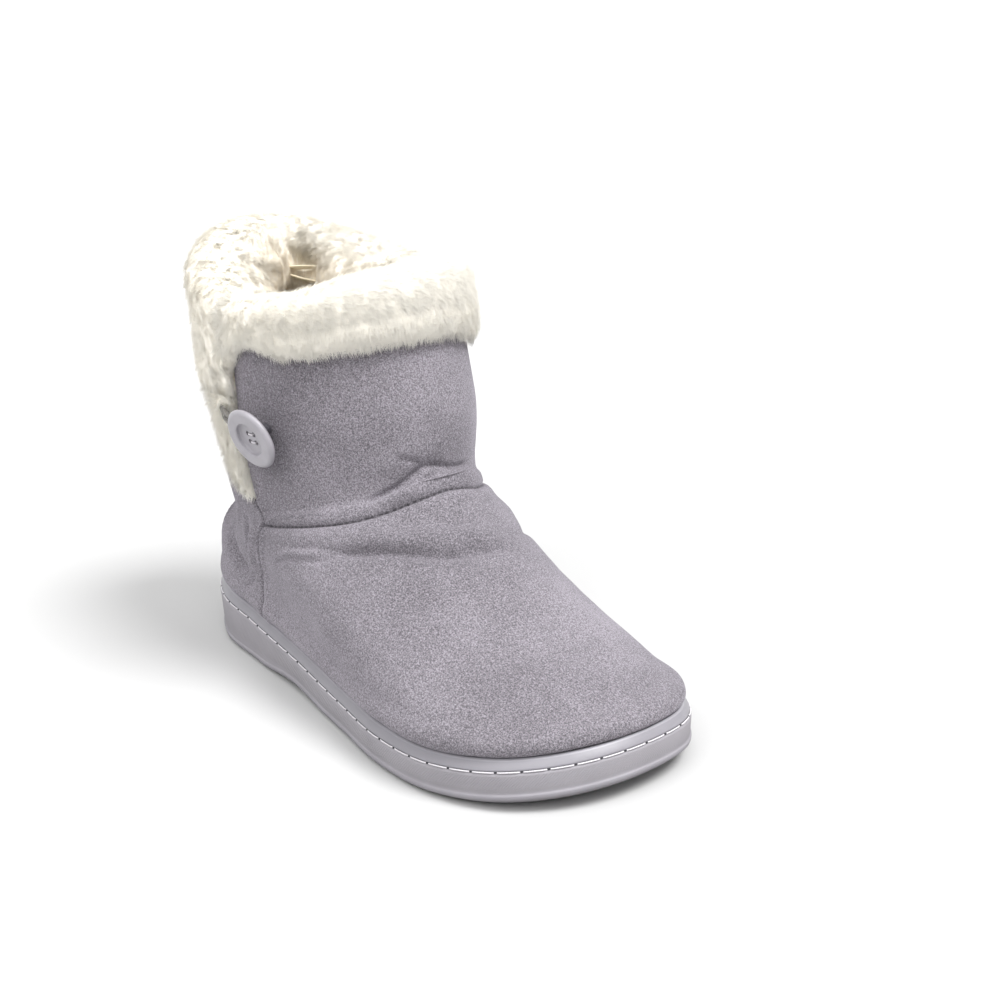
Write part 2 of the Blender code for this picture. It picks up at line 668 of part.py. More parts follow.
def build_edging(name, seam, back_step, top, material):
    """Fur that fills a vent and lies over the rear panel's edge, from the cuff to the tip."""
    tip = arc_lengths(SURFACE[VENT_TIP_RING * DENSE:, seam])[-1] - EDGING_END
    rear = seam + back_step
    points = []
    for row in range(EDGING_STEPS):
        share = row / (EDGING_STEPS - 1)
        below = top + (tip - top) * share
        full = (1.0 - share)**0.55
        opening = np.linalg.norm(on_wall(seam, below, 0.0) - on_wall(rear, below, 0.0))
        edge = CLEARANCE * 1.2 / opening
        puff = PILE * (0.35 + 0.75 * full)
        crown, crest, slope = (lock_wave(row, k) * (0.2 + 0.6 * full) for k in (1, 2, 3))
        width = EDGING_WIDTH * (0.25 + 0.75 * full)
        for across, offset in ((1 - edge, -WALL * 0.9), (1 - edge, 0.0), (1 - edge, puff * 0.35),
                               (0.5, puff * 0.85 + crown)):
            points.append(between(rear, seam, across, below, offset))
        for away, offset in ((0.2, puff + crest), (0.7, puff * 0.9 + slope), (1.0, puff * 0.4),
                             (0.85, CLEARANCE * 1.5), (0.4, CLEARANCE * 1.5)):
            points.append(on_wall(walk(rear, below, back_step * width * away), below, offset))
        for across, offset in ((0.0, CLEARANCE * 1.5), (edge, CLEARANCE * 1.5), (edge, -WALL * 0.9)):
            points.append(between(rear, seam, across, below, offset))
    size = len(points) // EDGING_STEPS
    faces = [tuple(range(size)), tuple(range((EDGING_STEPS - 1) * size, EDGING_STEPS * size))]
    for row in range(EDGING_STEPS - 1):
        faces += ring_faces(row * size, (row + 1) * size, size)
    return make_object(name, points, faces, material, 80)


def between(rear, front, share, below, offset):
    """A point in a vent, at a share of the way from its rear edge to its front one."""
    return on_wall(rear, below, offset) * (1 - share) + on_wall(front, below, offset) * share


BUTTON_BELOW = arc_lengths(SURFACE[VENT_TIP_RING * DENSE:, LATERAL_SEAM])[-1] - BUTTON_HEIGHT
BUTTON_COLUMN = walk(LATERAL_SEAM, BUTTON_BELOW, BUTTON_AHEAD)
MEDIAL_EDGING_TOP = REAR_HEM[0].drop * REAR_CUFF_DROP + LOCK_TIP + 5 * CLEARANCE
ELASTIC_BELOW = REAR_HEM[-1].drop * REAR_CUFF_DROP + LOCK_TIP + 6 * ELASTIC_RADIUS
LATERAL_EDGING_TOP = ELASTIC_BELOW + 3.6 * ELASTIC_RADIUS


def button_axes():
    """The button's seat on the wall and its own directions: out, up, along."""
    seat = on_wall(BUTTON_COLUMN, BUTTON_BELOW, 0.0)
    out = on_wall(BUTTON_COLUMN, BUTTON_BELOW, 1.0) - seat
    out /= np.linalg.norm(out)
    out = out + np.array((0.0, 0.0, -math.tan(BUTTON_TILT)))
    out /= np.linalg.norm(out)
    along = np.cross(out, (0.0, 0.0, 1.0))
    along /= np.linalg.norm(along)
    return seat, out, np.cross(along, out), along


def build_button(material):
    """A dished four-hole button on a stem of wound thread."""
    seat, out, up, along = button_axes()
    back = BUTTON_STANDOFF
    face = back + BUTTON_THICKNESS
    round_off = BUTTON_THICKNESS * 0.3
    profile = (
        (SHANK_RADIUS, CLEARANCE * 2),
        (SHANK_RADIUS, back),
        (BUTTON_RADIUS * 0.78, back),
        (BUTTON_RADIUS - round_off * 0.5, back + round_off),
        (BUTTON_RADIUS, back + BUTTON_THICKNESS * 0.55),
        (BUTTON_RADIUS - round_off, face - round_off * 0.2),
        (BUTTON_RADIUS * 0.78, face),
        (BUTTON_WELL_RADIUS + round_off, face - round_off * 0.3),
        (BUTTON_WELL_RADIUS, face - BUTTON_WELL_DEPTH),
    )
    points = []
    for radius, height in profile:
        for k in range(BUTTON_SIDES):
            angle = 2 * math.pi * k / BUTTON_SIDES
            points.append(seat + out * height + (up * math.sin(angle) + along * math.cos(angle)) * radius)
    last = (len(profile) - 1) * BUTTON_SIDES
    faces = [tuple(range(BUTTON_SIDES)), tuple(range(last, last + BUTTON_SIDES))]
    for k in range(len(profile) - 1):
        faces += ring_faces(k * BUTTON_SIDES, (k + 1) * BUTTON_SIDES, BUTTON_SIDES)
    button = make_object("button", points, faces, material, 40)
    cutter = button_hole_cutter(seat, out, up, along, back + BUTTON_THICKNESS * 0.3, face)
    cut = button.modifiers.new("Thread holes", "BOOLEAN")
    cut.operation = "DIFFERENCE"
    cut.solver = "EXACT"
    cut.object = cutter
    return button


def button_hole_cutter(seat, out, up, along, low, high):
    """Four blind round holes about the button's middle, which take the thread."""
    points, faces = [], []
    for hole in range(4):
        turn = math.pi / 4 + hole * math.pi / 2
        centre = seat + (up * math.sin(turn) + along * math.cos(turn)) * BUTTON_HOLE_CIRCLE
        first = len(points)
        for height in (low, high):
            for k in range(HOLE_SIDES):
                angle = 2 * math.pi * k / HOLE_SIDES
                rim = (up * math.sin(angle) + along * math.cos(angle)) * BUTTON_HOLE_RADIUS
                points.append(centre + out * height + rim)
        faces.append(tuple(range(first, first + HOLE_SIDES)))
        faces += ring_faces(first, first + HOLE_SIDES, HOLE_SIDES)
        faces.append(tuple(range(first + HOLE_SIDES, first + 2 * HOLE_SIDES)))
    cutter = make_object("button_hole_cutter", points, faces, None)
    cutter.hide_render = True
    cutter.display_type = "WIRE"
    return cutter


def tube(name, path, radius_across, radius_up, upright, material, sides):
    """A solid of oval section along a path, its section turned to an upright direction."""
    points = []
    for here, ahead, behind in zip(path, [*path[1:], path[-1]], [path[0], *path[:-1]]):
        run = (ahead - behind) / np.linalg.norm(ahead - behind)
        up = upright - run * np.dot(upright, run)
        up /= np.linalg.norm(up)
        across = np.cross(run, up)
        for i in range(sides):
            angle = 2 * math.pi * (i + 0.5) / sides
            points.append(here + across * math.cos(angle) * radius_across + up * math.sin(angle) * radius_up)
    last = (len(path) - 1) * sides
    faces = [tuple(range(sides)), tuple(range(last, last + sides))]
    for k in range(len(path) - 1):
        faces += ring_faces(k * sides, (k + 1) * sides, sides)
    return make_object(name, points, faces, material, 60)


def build_elastic(material):
    """The elastic loop: from the rear panel's edge, between cuff and edging, round the stem."""
    seat, out, up, along = button_axes()
    turn_radius = SHANK_RADIUS + 2 * CLEARANCE + ELASTIC_RADIUS
    rear = LATERAL_SEAM - 1.0
    root = on_wall(walk(rear, ELASTIC_BELOW, -ELASTIC_TAIL), ELASTIC_BELOW, CLEARANCE + ELASTIC_RADIUS * 1.1)
    lift = on_wall(rear, ELASTIC_BELOW, PILE * 0.45)
    centre = seat + out * (BUTTON_STANDOFF - ELASTIC_RADIUS - CLEARANCE * 3)
    towards = lift - centre
    towards -= out * np.dot(towards, out)
    towards /= np.linalg.norm(towards)
    side = np.cross(out, towards)
    arc = [centre + (towards * math.cos(a) + side * math.sin(a)) * turn_radius
           for a in np.linspace(math.radians(70), math.radians(290), 9)]
    split = side * ELASTIC_RADIUS * 1.25
    route = np.array([root + split, lift + split] + arc + [lift - split, root - split])
    lengths = arc_lengths(route)
    dense = smooth_through(route, lengths, np.linspace(0, lengths[-1], 30))
    return tube("button_loop", dense, ELASTIC_RADIUS, ELASTIC_RADIUS, out, material, 6)


def build_hang_loop(material):
    """The ribbon loop inside the collar, behind the heel's inner side."""
    column = COLUMNS + walk(0, RIBBON_BELOW, -RIBBON_ASIDE)
    inner = -WALL - PILE_INSIDE * 1.35
    root = on_wall(column, RIBBON_BELOW, inner)
    away = on_wall(column, RIBBON_BELOW, inner - 1.0) - root
    away /= np.linalg.norm(away)
    forward = on_wall(column - 1.0, RIBBON_BELOW, inner) - root
    forward /= np.linalg.norm(forward)
    reach = forward * 0.85 + away * 0.5 + np.array((0.0, 0.0, 0.12))
    reach /= np.linalg.norm(reach)
    up = np.array((0.0, 0.0, 1.0))
    rise = up - reach * np.dot(up, reach)
    rise /= np.linalg.norm(rise)
    bend = RIBBON_GAP / 2
    straight = RIBBON_LENGTH - bend
    lower = [root - rise * bend * 0.3, root + reach * straight * 0.5 - rise * bend * 0.9]
    turn = [root + reach * (straight + bend * math.sin(a)) - rise * bend * math.cos(a)
            for a in np.linspace(0, math.pi, 9)]
    upper = [root + reach * straight * 0.5 + rise * bend, root + rise * (bend * 0.3 + RIBBON_THICKNESS)]
    path = np.array(lower + turn + upper)
    lengths = arc_lengths(path)
    dense = smooth_through(path, lengths, np.linspace(0, lengths[-1], 18))
    across = np.cross(reach, rise)
    return tube("hang_loop", dense, RIBBON_THICKNESS / 2, RIBBON_WIDTH / 2, across, material, 6)


def main():
    for obj in list(bpy.data.objects):
        bpy.data.objects.remove(obj)
    rubber = make_material("sole_rubber", (0.38, 0.37, 0.40), 0.45)
    suede = make_material("suede", (0.28, 0.26, 0.30), 0.95)
    fur = make_material("cream_fur", (0.90, 0.87, 0.78), 0.9)
    lining = make_material("insole_fleece", (0.86, 0.82, 0.72), 0.95)
    plastic = make_material("button_plastic", (0.38, 0.37, 0.41), 0.35)
    elastic = make_material("elastic_cord", (0.14, 0.13, 0.14), 0.7)
    ribbon = make_material("satin_ribbon", (0.88, 0.82, 0.66), 0.45)
    build_outsole(rubber)
    build_insole(lining)
    build_upper(suede)
    cuff("fur_cuff_front", FRONT_CUFF, fur)
    cuff("fur_cuff_rear", REAR_CUFF, fur)
    build_edging("fur_edging_lateral", LATERAL_SEAM, -1, LATERAL_EDGING_TOP, fur)
    build_edging("fur_edging_medial", MEDIAL_SEAM, 1, MEDIAL_EDGING_TOP, fur)
    build_button(plastic)
    build_elastic(elastic)
    build_hang_loop(ribbon)


main()
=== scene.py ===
"""Looks of an ankle-high bootie slipper: suede with its creases, deep cream fur, stitched
cup sole, button and trim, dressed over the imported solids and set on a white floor.

Frame: +X towards the toe, +Y towards the other foot, +Z up, metres. The origin is on the
floor, in the middle of the flat spot under the heel.
"""

import json
import math
from collections import namedtuple
from functools import cache

import bmesh
import bpy
import numpy as np
from mathutils import Matrix, Vector, noise

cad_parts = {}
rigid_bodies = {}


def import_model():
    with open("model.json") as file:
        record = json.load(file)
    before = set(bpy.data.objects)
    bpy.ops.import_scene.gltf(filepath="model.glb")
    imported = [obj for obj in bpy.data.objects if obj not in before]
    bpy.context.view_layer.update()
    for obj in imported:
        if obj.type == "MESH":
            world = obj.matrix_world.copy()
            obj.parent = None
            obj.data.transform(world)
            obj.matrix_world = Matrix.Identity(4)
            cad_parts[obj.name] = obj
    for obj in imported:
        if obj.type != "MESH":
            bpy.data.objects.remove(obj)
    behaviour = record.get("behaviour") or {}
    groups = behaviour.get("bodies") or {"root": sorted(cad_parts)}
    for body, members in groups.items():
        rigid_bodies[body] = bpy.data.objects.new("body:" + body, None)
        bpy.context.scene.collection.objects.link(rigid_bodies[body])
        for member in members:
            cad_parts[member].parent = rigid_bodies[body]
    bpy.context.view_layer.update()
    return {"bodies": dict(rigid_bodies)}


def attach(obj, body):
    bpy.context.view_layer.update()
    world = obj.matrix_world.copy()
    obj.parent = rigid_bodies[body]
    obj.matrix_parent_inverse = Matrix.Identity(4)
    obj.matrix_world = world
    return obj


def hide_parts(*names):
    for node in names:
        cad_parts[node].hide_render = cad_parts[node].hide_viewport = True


bl_info = {
    "name": "Bootie slipper",
    "version": (1, 0, 0),
    "blender": (4, 5, 0),
    "location": "3D View > Sidebar > Bootie",
    "description": "Builds the finished surfaces of a fur-cuffed suede bootie slipper",
    "category": "Add Mesh",
}

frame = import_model()
BODY = next(iter(frame["bodies"]))

MM = 0.001
UPWARDS = np.array((0.0, 0.0, 1.0))

# Sizes of the sole, as in the solids
SOLE_LENGTH = 262 * MM
HEEL_WIDTH = 75 * MM
WAIST_WIDTH = 79 * MM
BALL_WIDTH = 101 * MM
HEEL_SEAT = 40 * MM
BALL_SEAT = 172 * MM
HEEL_STACK = 25 * MM
BALL_STACK = 17 * MM
TOE_SPRING = 7 * MM
ARCH_LIFT = 2.2 * MM
RAND_HEIGHT = 4.6 * MM
RAND_SLOPE = 2.9 * MM
RAND_LIP = 2.0 * MM
STITCH_GROOVE = 1.0 * MM
FOXING_HEIGHT = 3.4 * MM
FOXING_STEP = 0.5 * MM
EDGE_CHAMFER = 2.2 * MM
FLOOR_DEPTH = 8.2 * MM
LUG_DEPTH = 2.2 * MM
LUG_PITCH = 11 * MM
LUG_GROOVE = 3.6 * MM
LUG_CHEVRON = 5.5 * MM
HEEL_GROOVE_COUNT = 6
BALL_GROOVE_COUNT = 8
LUG_MARGIN = 8 * MM
# Shares of its length at which it changes: from the heel's height to the ball's, the toe's
# spring, and the arch
FALL_START, FALL_LENGTH = 0.08, 0.55
SPRING_START, SPRING_LENGTH = 0.73, 0.27
ARCH_MIDDLE, ARCH_REACH = 0.395, 0.115

# Sizes of the upper
WALL = 3 * MM
SHAFT_DEPTH = 138 * MM
SHAFT_WIDTH = 92 * MM
INSTEP_HEIGHT = 71 * MM
COLLAR_FRONT = 149 * MM
COLLAR_BACK = 146 * MM
COLLAR_DIP = 17 * MM
COLLAR_DIP_MEDIAL = 13 * MM
COLLAR_DIP_POWER = 2.5
SHAFT_SHIFT = 5 * MM
VENT_WIDTH = 10 * MM
SEAM_WIDTH = 3.2 * MM
CLEARANCE = 0.35 * MM

# Sizes of fur, insole and trim
PILE = 7.5 * MM
PILE_INSIDE = 6.5 * MM
PILE_CREST = 9 * MM
FRONT_CUFF_DROP = 25 * MM
REAR_CUFF_DROP = 44 * MM
CUFF_LINING = 26 * MM
LOCK_TIP = 2.6 * MM
EDGING_WIDTH = 22 * MM
EDGING_END = 2 * MM
INSOLE_THICKNESS = 6 * MM
BUTTON_RADIUS = 12.8 * MM
BUTTON_THICKNESS = 3.4 * MM
BUTTON_WELL_RADIUS = 6.6 * MM
BUTTON_WELL_DEPTH = 1.3 * MM
BUTTON_HOLE_RADIUS = 1.1 * MM
BUTTON_HOLE_CIRCLE = 2.6 * MM
BUTTON_STANDOFF = 7.4 * MM
BUTTON_AHEAD = 23 * MM
BUTTON_HEIGHT = 34 * MM
BUTTON_TILT = math.radians(16)
SHANK_RADIUS = 2.2 * MM
ELASTIC_RADIUS = 1.15 * MM
ELASTIC_TAIL = 3 * MM
RIBBON_WIDTH = 5 * MM
RIBBON_THICKNESS = 1.0 * MM
RIBBON_LENGTH = 21 * MM
RIBBON_GAP = 6 * MM
RIBBON_BELOW = 17 * MM
RIBBON_ASIDE = 17 * MM

# How finely the wall is divided: columns on one side, and samples between two rings
REAR_COLUMNS = 48
FRONT_COLUMNS = 96
DENSE = 18
EDGE_STEPS = (0.35 * MM, 0.9 * MM, 1.7 * MM)     # columns close to a seam or a vent's edge
OUTLINE_SAMPLES = 1441         # along the sole's whole outline
OVAL_SAMPLES = 361
BLEND_SAMPLES = 721            # along one side, where outline and oval are mixed
SOLE_COLUMNS = 250
SOLE_ACROSS = 46
INSOLE_COLUMNS = 110
INSOLE_ACROSS = 34
FOLD_SAMPLES = 120
FOLD_REACH = 4                 # times a fold's width, beyond which nothing of it is left
SIDE_SEAM_COLUMNS = 12         # on either side of a side seam, where it still draws the wall in
FAR = 0.1                      # metres, for places with no seam near
INNER_STEP = 6                 # rows of the outer face to one of the inner face, below the vents

Station = namedtuple("Station", "along lateral medial width")
FOOT_STATIONS = (
    # share of the sole's length, shares of the named width on either side
    Station(0.035, 0.27, 0.27, HEEL_WIDTH),
    Station(0.130, 0.475, 0.465, HEEL_WIDTH),
    Station(0.260, 0.530, 0.500, HEEL_WIDTH),
    Station(0.420, 0.545, 0.470, WAIST_WIDTH),
    Station(0.570, 0.475, 0.430, BALL_WIDTH),
    Station(0.700, 0.520, 0.510, BALL_WIDTH),
    Station(0.820, 0.495, 0.525, BALL_WIDTH),
    Station(0.920, 0.370, 0.475, BALL_WIDTH),
    Station(0.978, 0.180, 0.340, BALL_WIDTH),
)
TOE_TIP_SHIFT = 0.09           # of the ball width, towards the other foot

Ring = namedtuple("Ring", "rise_back rise_front back front lateral medial round side shift")
UPPER_RINGS = (
    # rises: shares of the collar's and the instep's height; back, front: shares of the sole's
    # length; lateral, medial: shares of the ball's width, and of the shaft's where the ring is
    # round; round: 0 follows the sole, 1 an oval; side: where the side seam crosses, a share of
    # the ring; shift: share of the shaft's shift
    Ring(0.045, 0.06, 0.014, 0.980, 0.480, 0.475, 0.00, 0.300, 0.0),
    Ring(0.090, 0.18, 0.012, 0.938, 0.475, 0.460, 0.05, 0.315, 0.0),
    Ring(0.130, 0.40, 0.014, 0.822, 0.465, 0.450, 0.20, 0.360, 0.1),
    Ring(0.160, 0.64, 0.021, 0.710, 0.465, 0.455, 0.45, 0.420, 0.3),
    Ring(0.185, 0.86, 0.030, 0.630, 0.470, 0.470, 0.75, 0.490, 0.6),
    Ring(0.212, 1.00, 0.040, 0.586, 0.475, 0.480, 1.00, 0.537, 0.9),
)
Shaft = namedtuple("Shaft", "height back depth lateral medial side vent")
SHAFT_RINGS = (
    # height: share from the instep seam up to the collar; back: share of the shaft's depth
    # ahead of the sole's back edge; depth, lateral, medial: shares of the shaft's depth and
    # width; side: as above; vent: share of the vent's width
    Shaft(0.07, 0.090, 0.988, 0.480, 0.490, 0.500, 0.0),
    Shaft(0.36, 0.096, 0.990, 0.490, 0.505, 0.452, 0.36),
    Shaft(0.68, 0.085, 0.965, 0.495, 0.505, 0.472, 0.72),
    Shaft(1.00, 0.078, 0.945, 0.495, 0.500, 0.500, 1.0),
)
HEIGHT_POWER = 1.3             # how a ring's height runs from its back to its front
INSTEP_RING = 1 + len(UPPER_RINGS)
VENT_TIP_RING = 2 + len(UPPER_RINGS)

Hem = namedtuple("Hem", "along drop")
FRONT_HEM = (
    # share of the way from the outer vent round to the inner one, share of the cuff's drop
    Hem(0.00, 1.10), Hem(0.04, 0.64), Hem(0.20, 0.64), Hem(0.37, 0.78), Hem(0.54, 0.84), Hem(0.72, 1.00),
    Hem(1.00, 0.92),
)
REAR_HEM = (
    # the same from the inner vent round the heel to the outer one
    Hem(0.00, 0.96), Hem(0.25, 0.96), Hem(0.50, 0.90), Hem(0.69, 1.06), Hem(1.00, 0.80),
)

Fold = namedtuple("Fold", "height width fade path")
FOLDS = (
    # height in mm, above the wall or, if negative, sunk into it; width in mm; fade: share of the
    # fold's length over which each end dies away; path: places along, across and up, in mm.
    # Twelve of them were picked by eye in the photo, carried onto the wall through the camera by a
    # script that isn't kept, and in part moved by hand since. The others are listed one by one.
    # the crease across the vamp, the roll that hangs over it, and small wrinkles at its start
    Fold(-1.9, 1.8, 0.18, ((88, -39.2, 65), (98, -34.8, 67.9), (104.6, -31.7, 68.8), (114.6, -25.4, 70.2),
                           (124.1, -18.3, 70.1), (130.5, -11.8, 69.5), (134, -6.1, 69.2), (136.3, 3.4, 69.1),
                           (137, 10, 68.5), (134, 22, 67.5))),
    Fold(1.9, 4.4, 0.28, ((90, -35, 70.5), (99.2, -31.1, 72.6), (110.1, -24.5, 74.4), (119.4, -17, 75),
                          (126.6, -8.3, 74.7), (130.1, 0.8, 74.3), (130.8, 11, 73.6), (127, 24, 72.5))),
    Fold(0.8, 7.0, 0.30, ((96, -42, 56), (118, -33, 59), (134, -18, 60), (142, 2, 59.5), (140, 20, 58))),
    Fold(-0.7, 1.1, 0.25, ((53.2, -41.6, 51.7), (64.9, -43.1, 57.5), (72.5, -42.7, 60.8), (81.6, -41.6, 62.2),
                           (92.2, -38.7, 64.4), (98.4, -35.1, 67.2))),
    Fold(0.6, 1.6, 0.30, ((62, -43, 59.6), (72, -42.6, 62.9), (81, -41, 64.2), (90, -38.5, 66.4))),
    Fold(-0.5, 1.0, 0.30, ((63.9, -42.9, 60.0), (72.1, -42.3, 64.4), (79.7, -40.1, 66.5), (90.3, -37.3, 68.2),
                           (99.7, -34.1, 69.1))),
    # the slack of the shaft above the instep seam
    Fold(-1.5, 1.3, 0.16, ((95, -24, 83.6), (97.6, -21.3, 85.1), (101.8, -15.6, 88), (104.2, -11.6, 90),
                           (105.5, -8.6, 92), (106.7, -5.6, 94.4), (107.8, -2, 96.4), (108.6, 2.6, 96.8),
                           (108.6, 6.2, 95.7), (108.4, 9.2, 94.5), (105.9, 18, 92.6), (102, 25, 91.5))),
    Fold(-1.0, 1.0, 0.30, ((103.9, -13, 102), (105.2, -10, 101.5), (107.3, -4.6, 99.9), (108, -1.6, 97.8))),
    Fold(-0.8, 0.9, 0.30, ((107.7, -3.4, 91.1), (108.5, 0.2, 92.4), (108.7, 4.2, 93.8), (108.6, 7.6, 94.6))),
    Fold(2.0, 2.9, 0.30, ((100, -20, 84.6), (106, -14, 86.6), (108.4, -6.1, 89.3), (109.2, 2.7, 91.2),
                          (108.8, 11, 90.8), (105.8, 20.6, 88.5), (101, 30, 86))),
    Fold(1.0, 1.4, 0.35, ((107, -4, 95.2), (108.4, 0.4, 95.4), (108.6, 3.6, 95.3))),
    Fold(0.8, 5.0, 0.40, ((96, -24, 92), (104, -13, 99), (107, 0, 104), (106, 14, 102))),
    Fold(-0.5, 5.0, 0.40, ((70, -39, 96), (84, -35, 104), (96, -26, 110))),
    # the rear panel below the vent, slack against the side seam, and hollow above the heel
    Fold(-2.6, 10, 0.40, ((-30, -20, 60), (-16, -28, 61), (-4, -33, 62), (10, -36, 63), (24, -38, 65))),
    Fold(-2.0, 2.6, 0.35, ((0, -33, 54), (5.7, -34.3, 45.9), (12.6, -35.6, 42.2), (21.4, -36.9, 39.6),
                           (27.6, -37.7, 37.1))),
    Fold(1.8, 2.2, 0.30, ((38.8, -39.1, 70), (38.6, -40.1, 62.9), (33, -38.2, 51.9), (32.4, -37.6, 45.1),
                          (34.7, -38, 38))),
    Fold(-1.4, 1.4, 0.30, ((30, -38, 70), (31, -38.6, 62), (26, -37.5, 52), (26, -37.4, 46))),
    Fold(0.8, 3.0, 0.35, ((24.4, -37.9, 71.8), (18, -36.5, 61), (8, -34.5, 54))),
    Fold(-1.1, 1.1, 0.30, ((22.4, -37.8, 31.1), (27.6, -37.8, 36.2), (32.7, -37.8, 42.8))),
    Fold(0.6, 1.5, 0.30, ((27, -37.8, 30), (32, -37.8, 35), (37, -37.8, 42))),
    # the inner side and the back, which sag less
    Fold(-1.0, 2.4, 0.35, ((134, 22, 67), (122, 34, 63), (104, 40, 59), (84, 43, 55))),
    Fold(0.9, 5.0, 0.40, ((120, 30, 72), (104, 37, 68), (88, 41, 65))),
    Fold(-0.8, 3.0, 0.35, ((-30, -26, 76), (-36, -6, 72), (-36, 14, 73), (-28, 34, 78))),
    Fold(0.8, 5.0, 0.35, ((-30, -24, 66), (-36, -6, 62), (-36, 14, 62), (-28, 32, 66))),
    Fold(-0.7, 2.2, 0.35, ((18, 43, 62), (20, 43, 50), (17, 42, 38))),
    Fold(0.7, 3.0, 0.35, ((27, 44, 60), (27, 44, 48), (25, 43, 38))),
)

SEAM_SAG = (
    # share of the way from the outer side seam round the front to the inner one, and how far
    # the instep seam hangs below its ring there, in mm, read from the photo like the folds
    (0.00, 3.3), (0.10, 3.4), (0.16, 3.6), (0.24, 3.8), (0.30, 3.6), (0.36, 2.7), (0.40, 1.8),
    (0.45, 0.8), (0.50, 0.2), (0.54, 0.8), (0.60, 2.4), (0.80, 2.8), (1.00, 2.4),
)
LIP_SWELL = 2.3 * MM           # how far the padded wall swells out over the sole's lip
LIP_RISE = (0.3 * MM, 2.4 * MM)          # where above the lip it starts to, and over what height
LIP_FALL = (2.7 * MM, 9 * MM)            # the same for its going back
RELIEF_RISE = (0.8, 0.5)       # rings above the floor where seams and folds start to show


def smooth_through(points, params, samples):
    """Points on a smooth curve through the given ones, at the sample parameters."""
    points = np.asarray(points, float)
    params = np.asarray(params, float)
    steps = np.diff(params)
    slopes = np.diff(points, axis=0) / steps[:, None]
    tangents = np.empty_like(points)
    tangents[0], tangents[-1] = slopes[0], slopes[-1]
    weight = (steps[:-1] / (steps[:-1] + steps[1:]))[:, None]
    tangents[1:-1] = slopes[:-1] * (1 - weight) + slopes[1:] * weight
    samples = np.asarray(samples, float)
    place = np.clip(np.searchsorted(params, samples, side="right") - 1, 0, len(steps) - 1)
    step = steps[place][:, None]
    t = (samples - params[place])[:, None] / step
    return ((2 * t**3 - 3 * t**2 + 1) * points[place] + (t**3 - 2 * t**2 + t) * step * tangents[place]
            + (3 * t**2 - 2 * t**3) * points[place + 1] + (t**3 - t**2) * step * tangents[place + 1])


def arc_lengths(points):
    """The distance of each point from the first one, along their polyline."""
    return np.r_[0.0, np.cumsum(np.linalg.norm(np.diff(points, axis=0), axis=1))]


def at_lengths(points, lengths):
    """Points at the given distances along a polyline."""
    total = arc_lengths(points)
    return np.stack([np.interp(lengths, total, points[:, k]) for k in range(points.shape[1])], axis=1)


def smooth_path(points, count):
    """A smooth curve through a few points, as so many points."""
    points = np.asarray(points, float)
    lengths = arc_lengths(points)
    return smooth_through(points, lengths, np.linspace(0, lengths[-1], count))


def unit(vector):
    """A direction at length one."""
    return vector / np.linalg.norm(vector)


def unit_rows(vectors):
    """Each of several directions at length one."""
    return vectors / np.linalg.norm(vectors, axis=-1, keepdims=True)


def rising(value, start, length):
    """Nothing up to a start, one from a length beyond it, and evenly rising in between."""
    return np.clip((value - start) / length, 0.0, 1.0)


def nearness(distance, reach):
    """One at no distance, evenly less up to a reach, and nothing beyond it."""
    return max(1 - distance / reach, 0.0)


def noise_at(spot, scale, shift=(0.0, 0.0, 0.0)):
    """Smooth noise between -1 and 1, with so many waves to the metre, shifted against others."""
    return noise.noise(Vector(spot) * scale + Vector(shift))


def foot_outline():
    """The sole's outline as two dense curves from heel to toe: (lateral, medial)."""
    toe = (SOLE_LENGTH, TOE_TIP_SHIFT * BALL_WIDTH)
    lateral = [(s.along * SOLE_LENGTH, -s.lateral * s.width) for s in FOOT_STATIONS]
    medial = [(s.along * SOLE_LENGTH, s.medial * s.width) for s in FOOT_STATIONS]
    loop = [(0.0, 0.0)] + lateral + [toe] + medial[::-1]
    closed = np.array(loop * 3 + loop[:1])
    chord = arc_lengths(closed)
    samples = np.linspace(chord[len(loop)], chord[2 * len(loop)], OUTLINE_SAMPLES)
    dense = smooth_through(closed, chord, samples)
    tip = dense[:, 0].argmax()
    return dense[:tip + 1], dense[tip:][::-1]


def oval_outline():
    """A unit oval as two dense curves: along runs from 0 to 1, across from -1 to 1."""
    angle = np.linspace(0.0, math.pi, OVAL_SAMPLES)
    along = 0.5 - 0.5 * np.cos(angle)
    return np.c_[along, -np.sin(angle)], np.c_[along, np.sin(angle)]


FOOT_SIDES = foot_outline()
OVAL_SIDES = oval_outline()


def divide_side(curve, side, gap):
    """Columns on one side from back to front, closer together at the side seam: the last
    rear one lies `gap` behind the seam and the next one stands on it."""
    total = arc_lengths(curve)
    seam = np.interp(side, curve[:, 0] / curve[-1, 0], total)
    near = np.array(EDGE_STEPS)
    rear = np.linspace(0.0, seam - gap - near[-1], REAR_COLUMNS + 1)
    front = np.linspace(seam + near[-1], total[-1], FRONT_COLUMNS + 1)
    stops = (rear, seam - gap - near[-2::-1], [seam - gap, seam], seam + near[:-1], front)
    return at_lengths(curve, np.concatenate(stops))


SIDE_COUNT = REAR_COLUMNS + FRONT_COLUMNS + 2 * len(EDGE_STEPS) + 2
COLUMNS = 2 * SIDE_COUNT - 2
LATERAL_SEAM = REAR_COLUMNS + len(EDGE_STEPS) + 1
MEDIAL_SEAM = COLUMNS - LATERAL_SEAM


def closed_ring(lateral, medial):
    """Back point, lateral side, toe point, medial side, in one closed round."""
    return np.r_[lateral, medial[-2:0:-1]]


def sole_top(x):
    """Height of the rand's edge above the floor, at a distance from the sole's back."""
    fall = rising(np.asarray(x) / SOLE_LENGTH, FALL_START, FALL_LENGTH)
    return HEEL_STACK + (BALL_STACK - HEEL_STACK) * fall * fall * (3 - 2 * fall) + toe_lift(x)


def toe_lift(x):
    """How far the toe springs up from the floor."""
    return TOE_SPRING * np.clip((np.asarray(x) / SOLE_LENGTH - SPRING_START) / SPRING_LENGTH, 0.0, None)**2


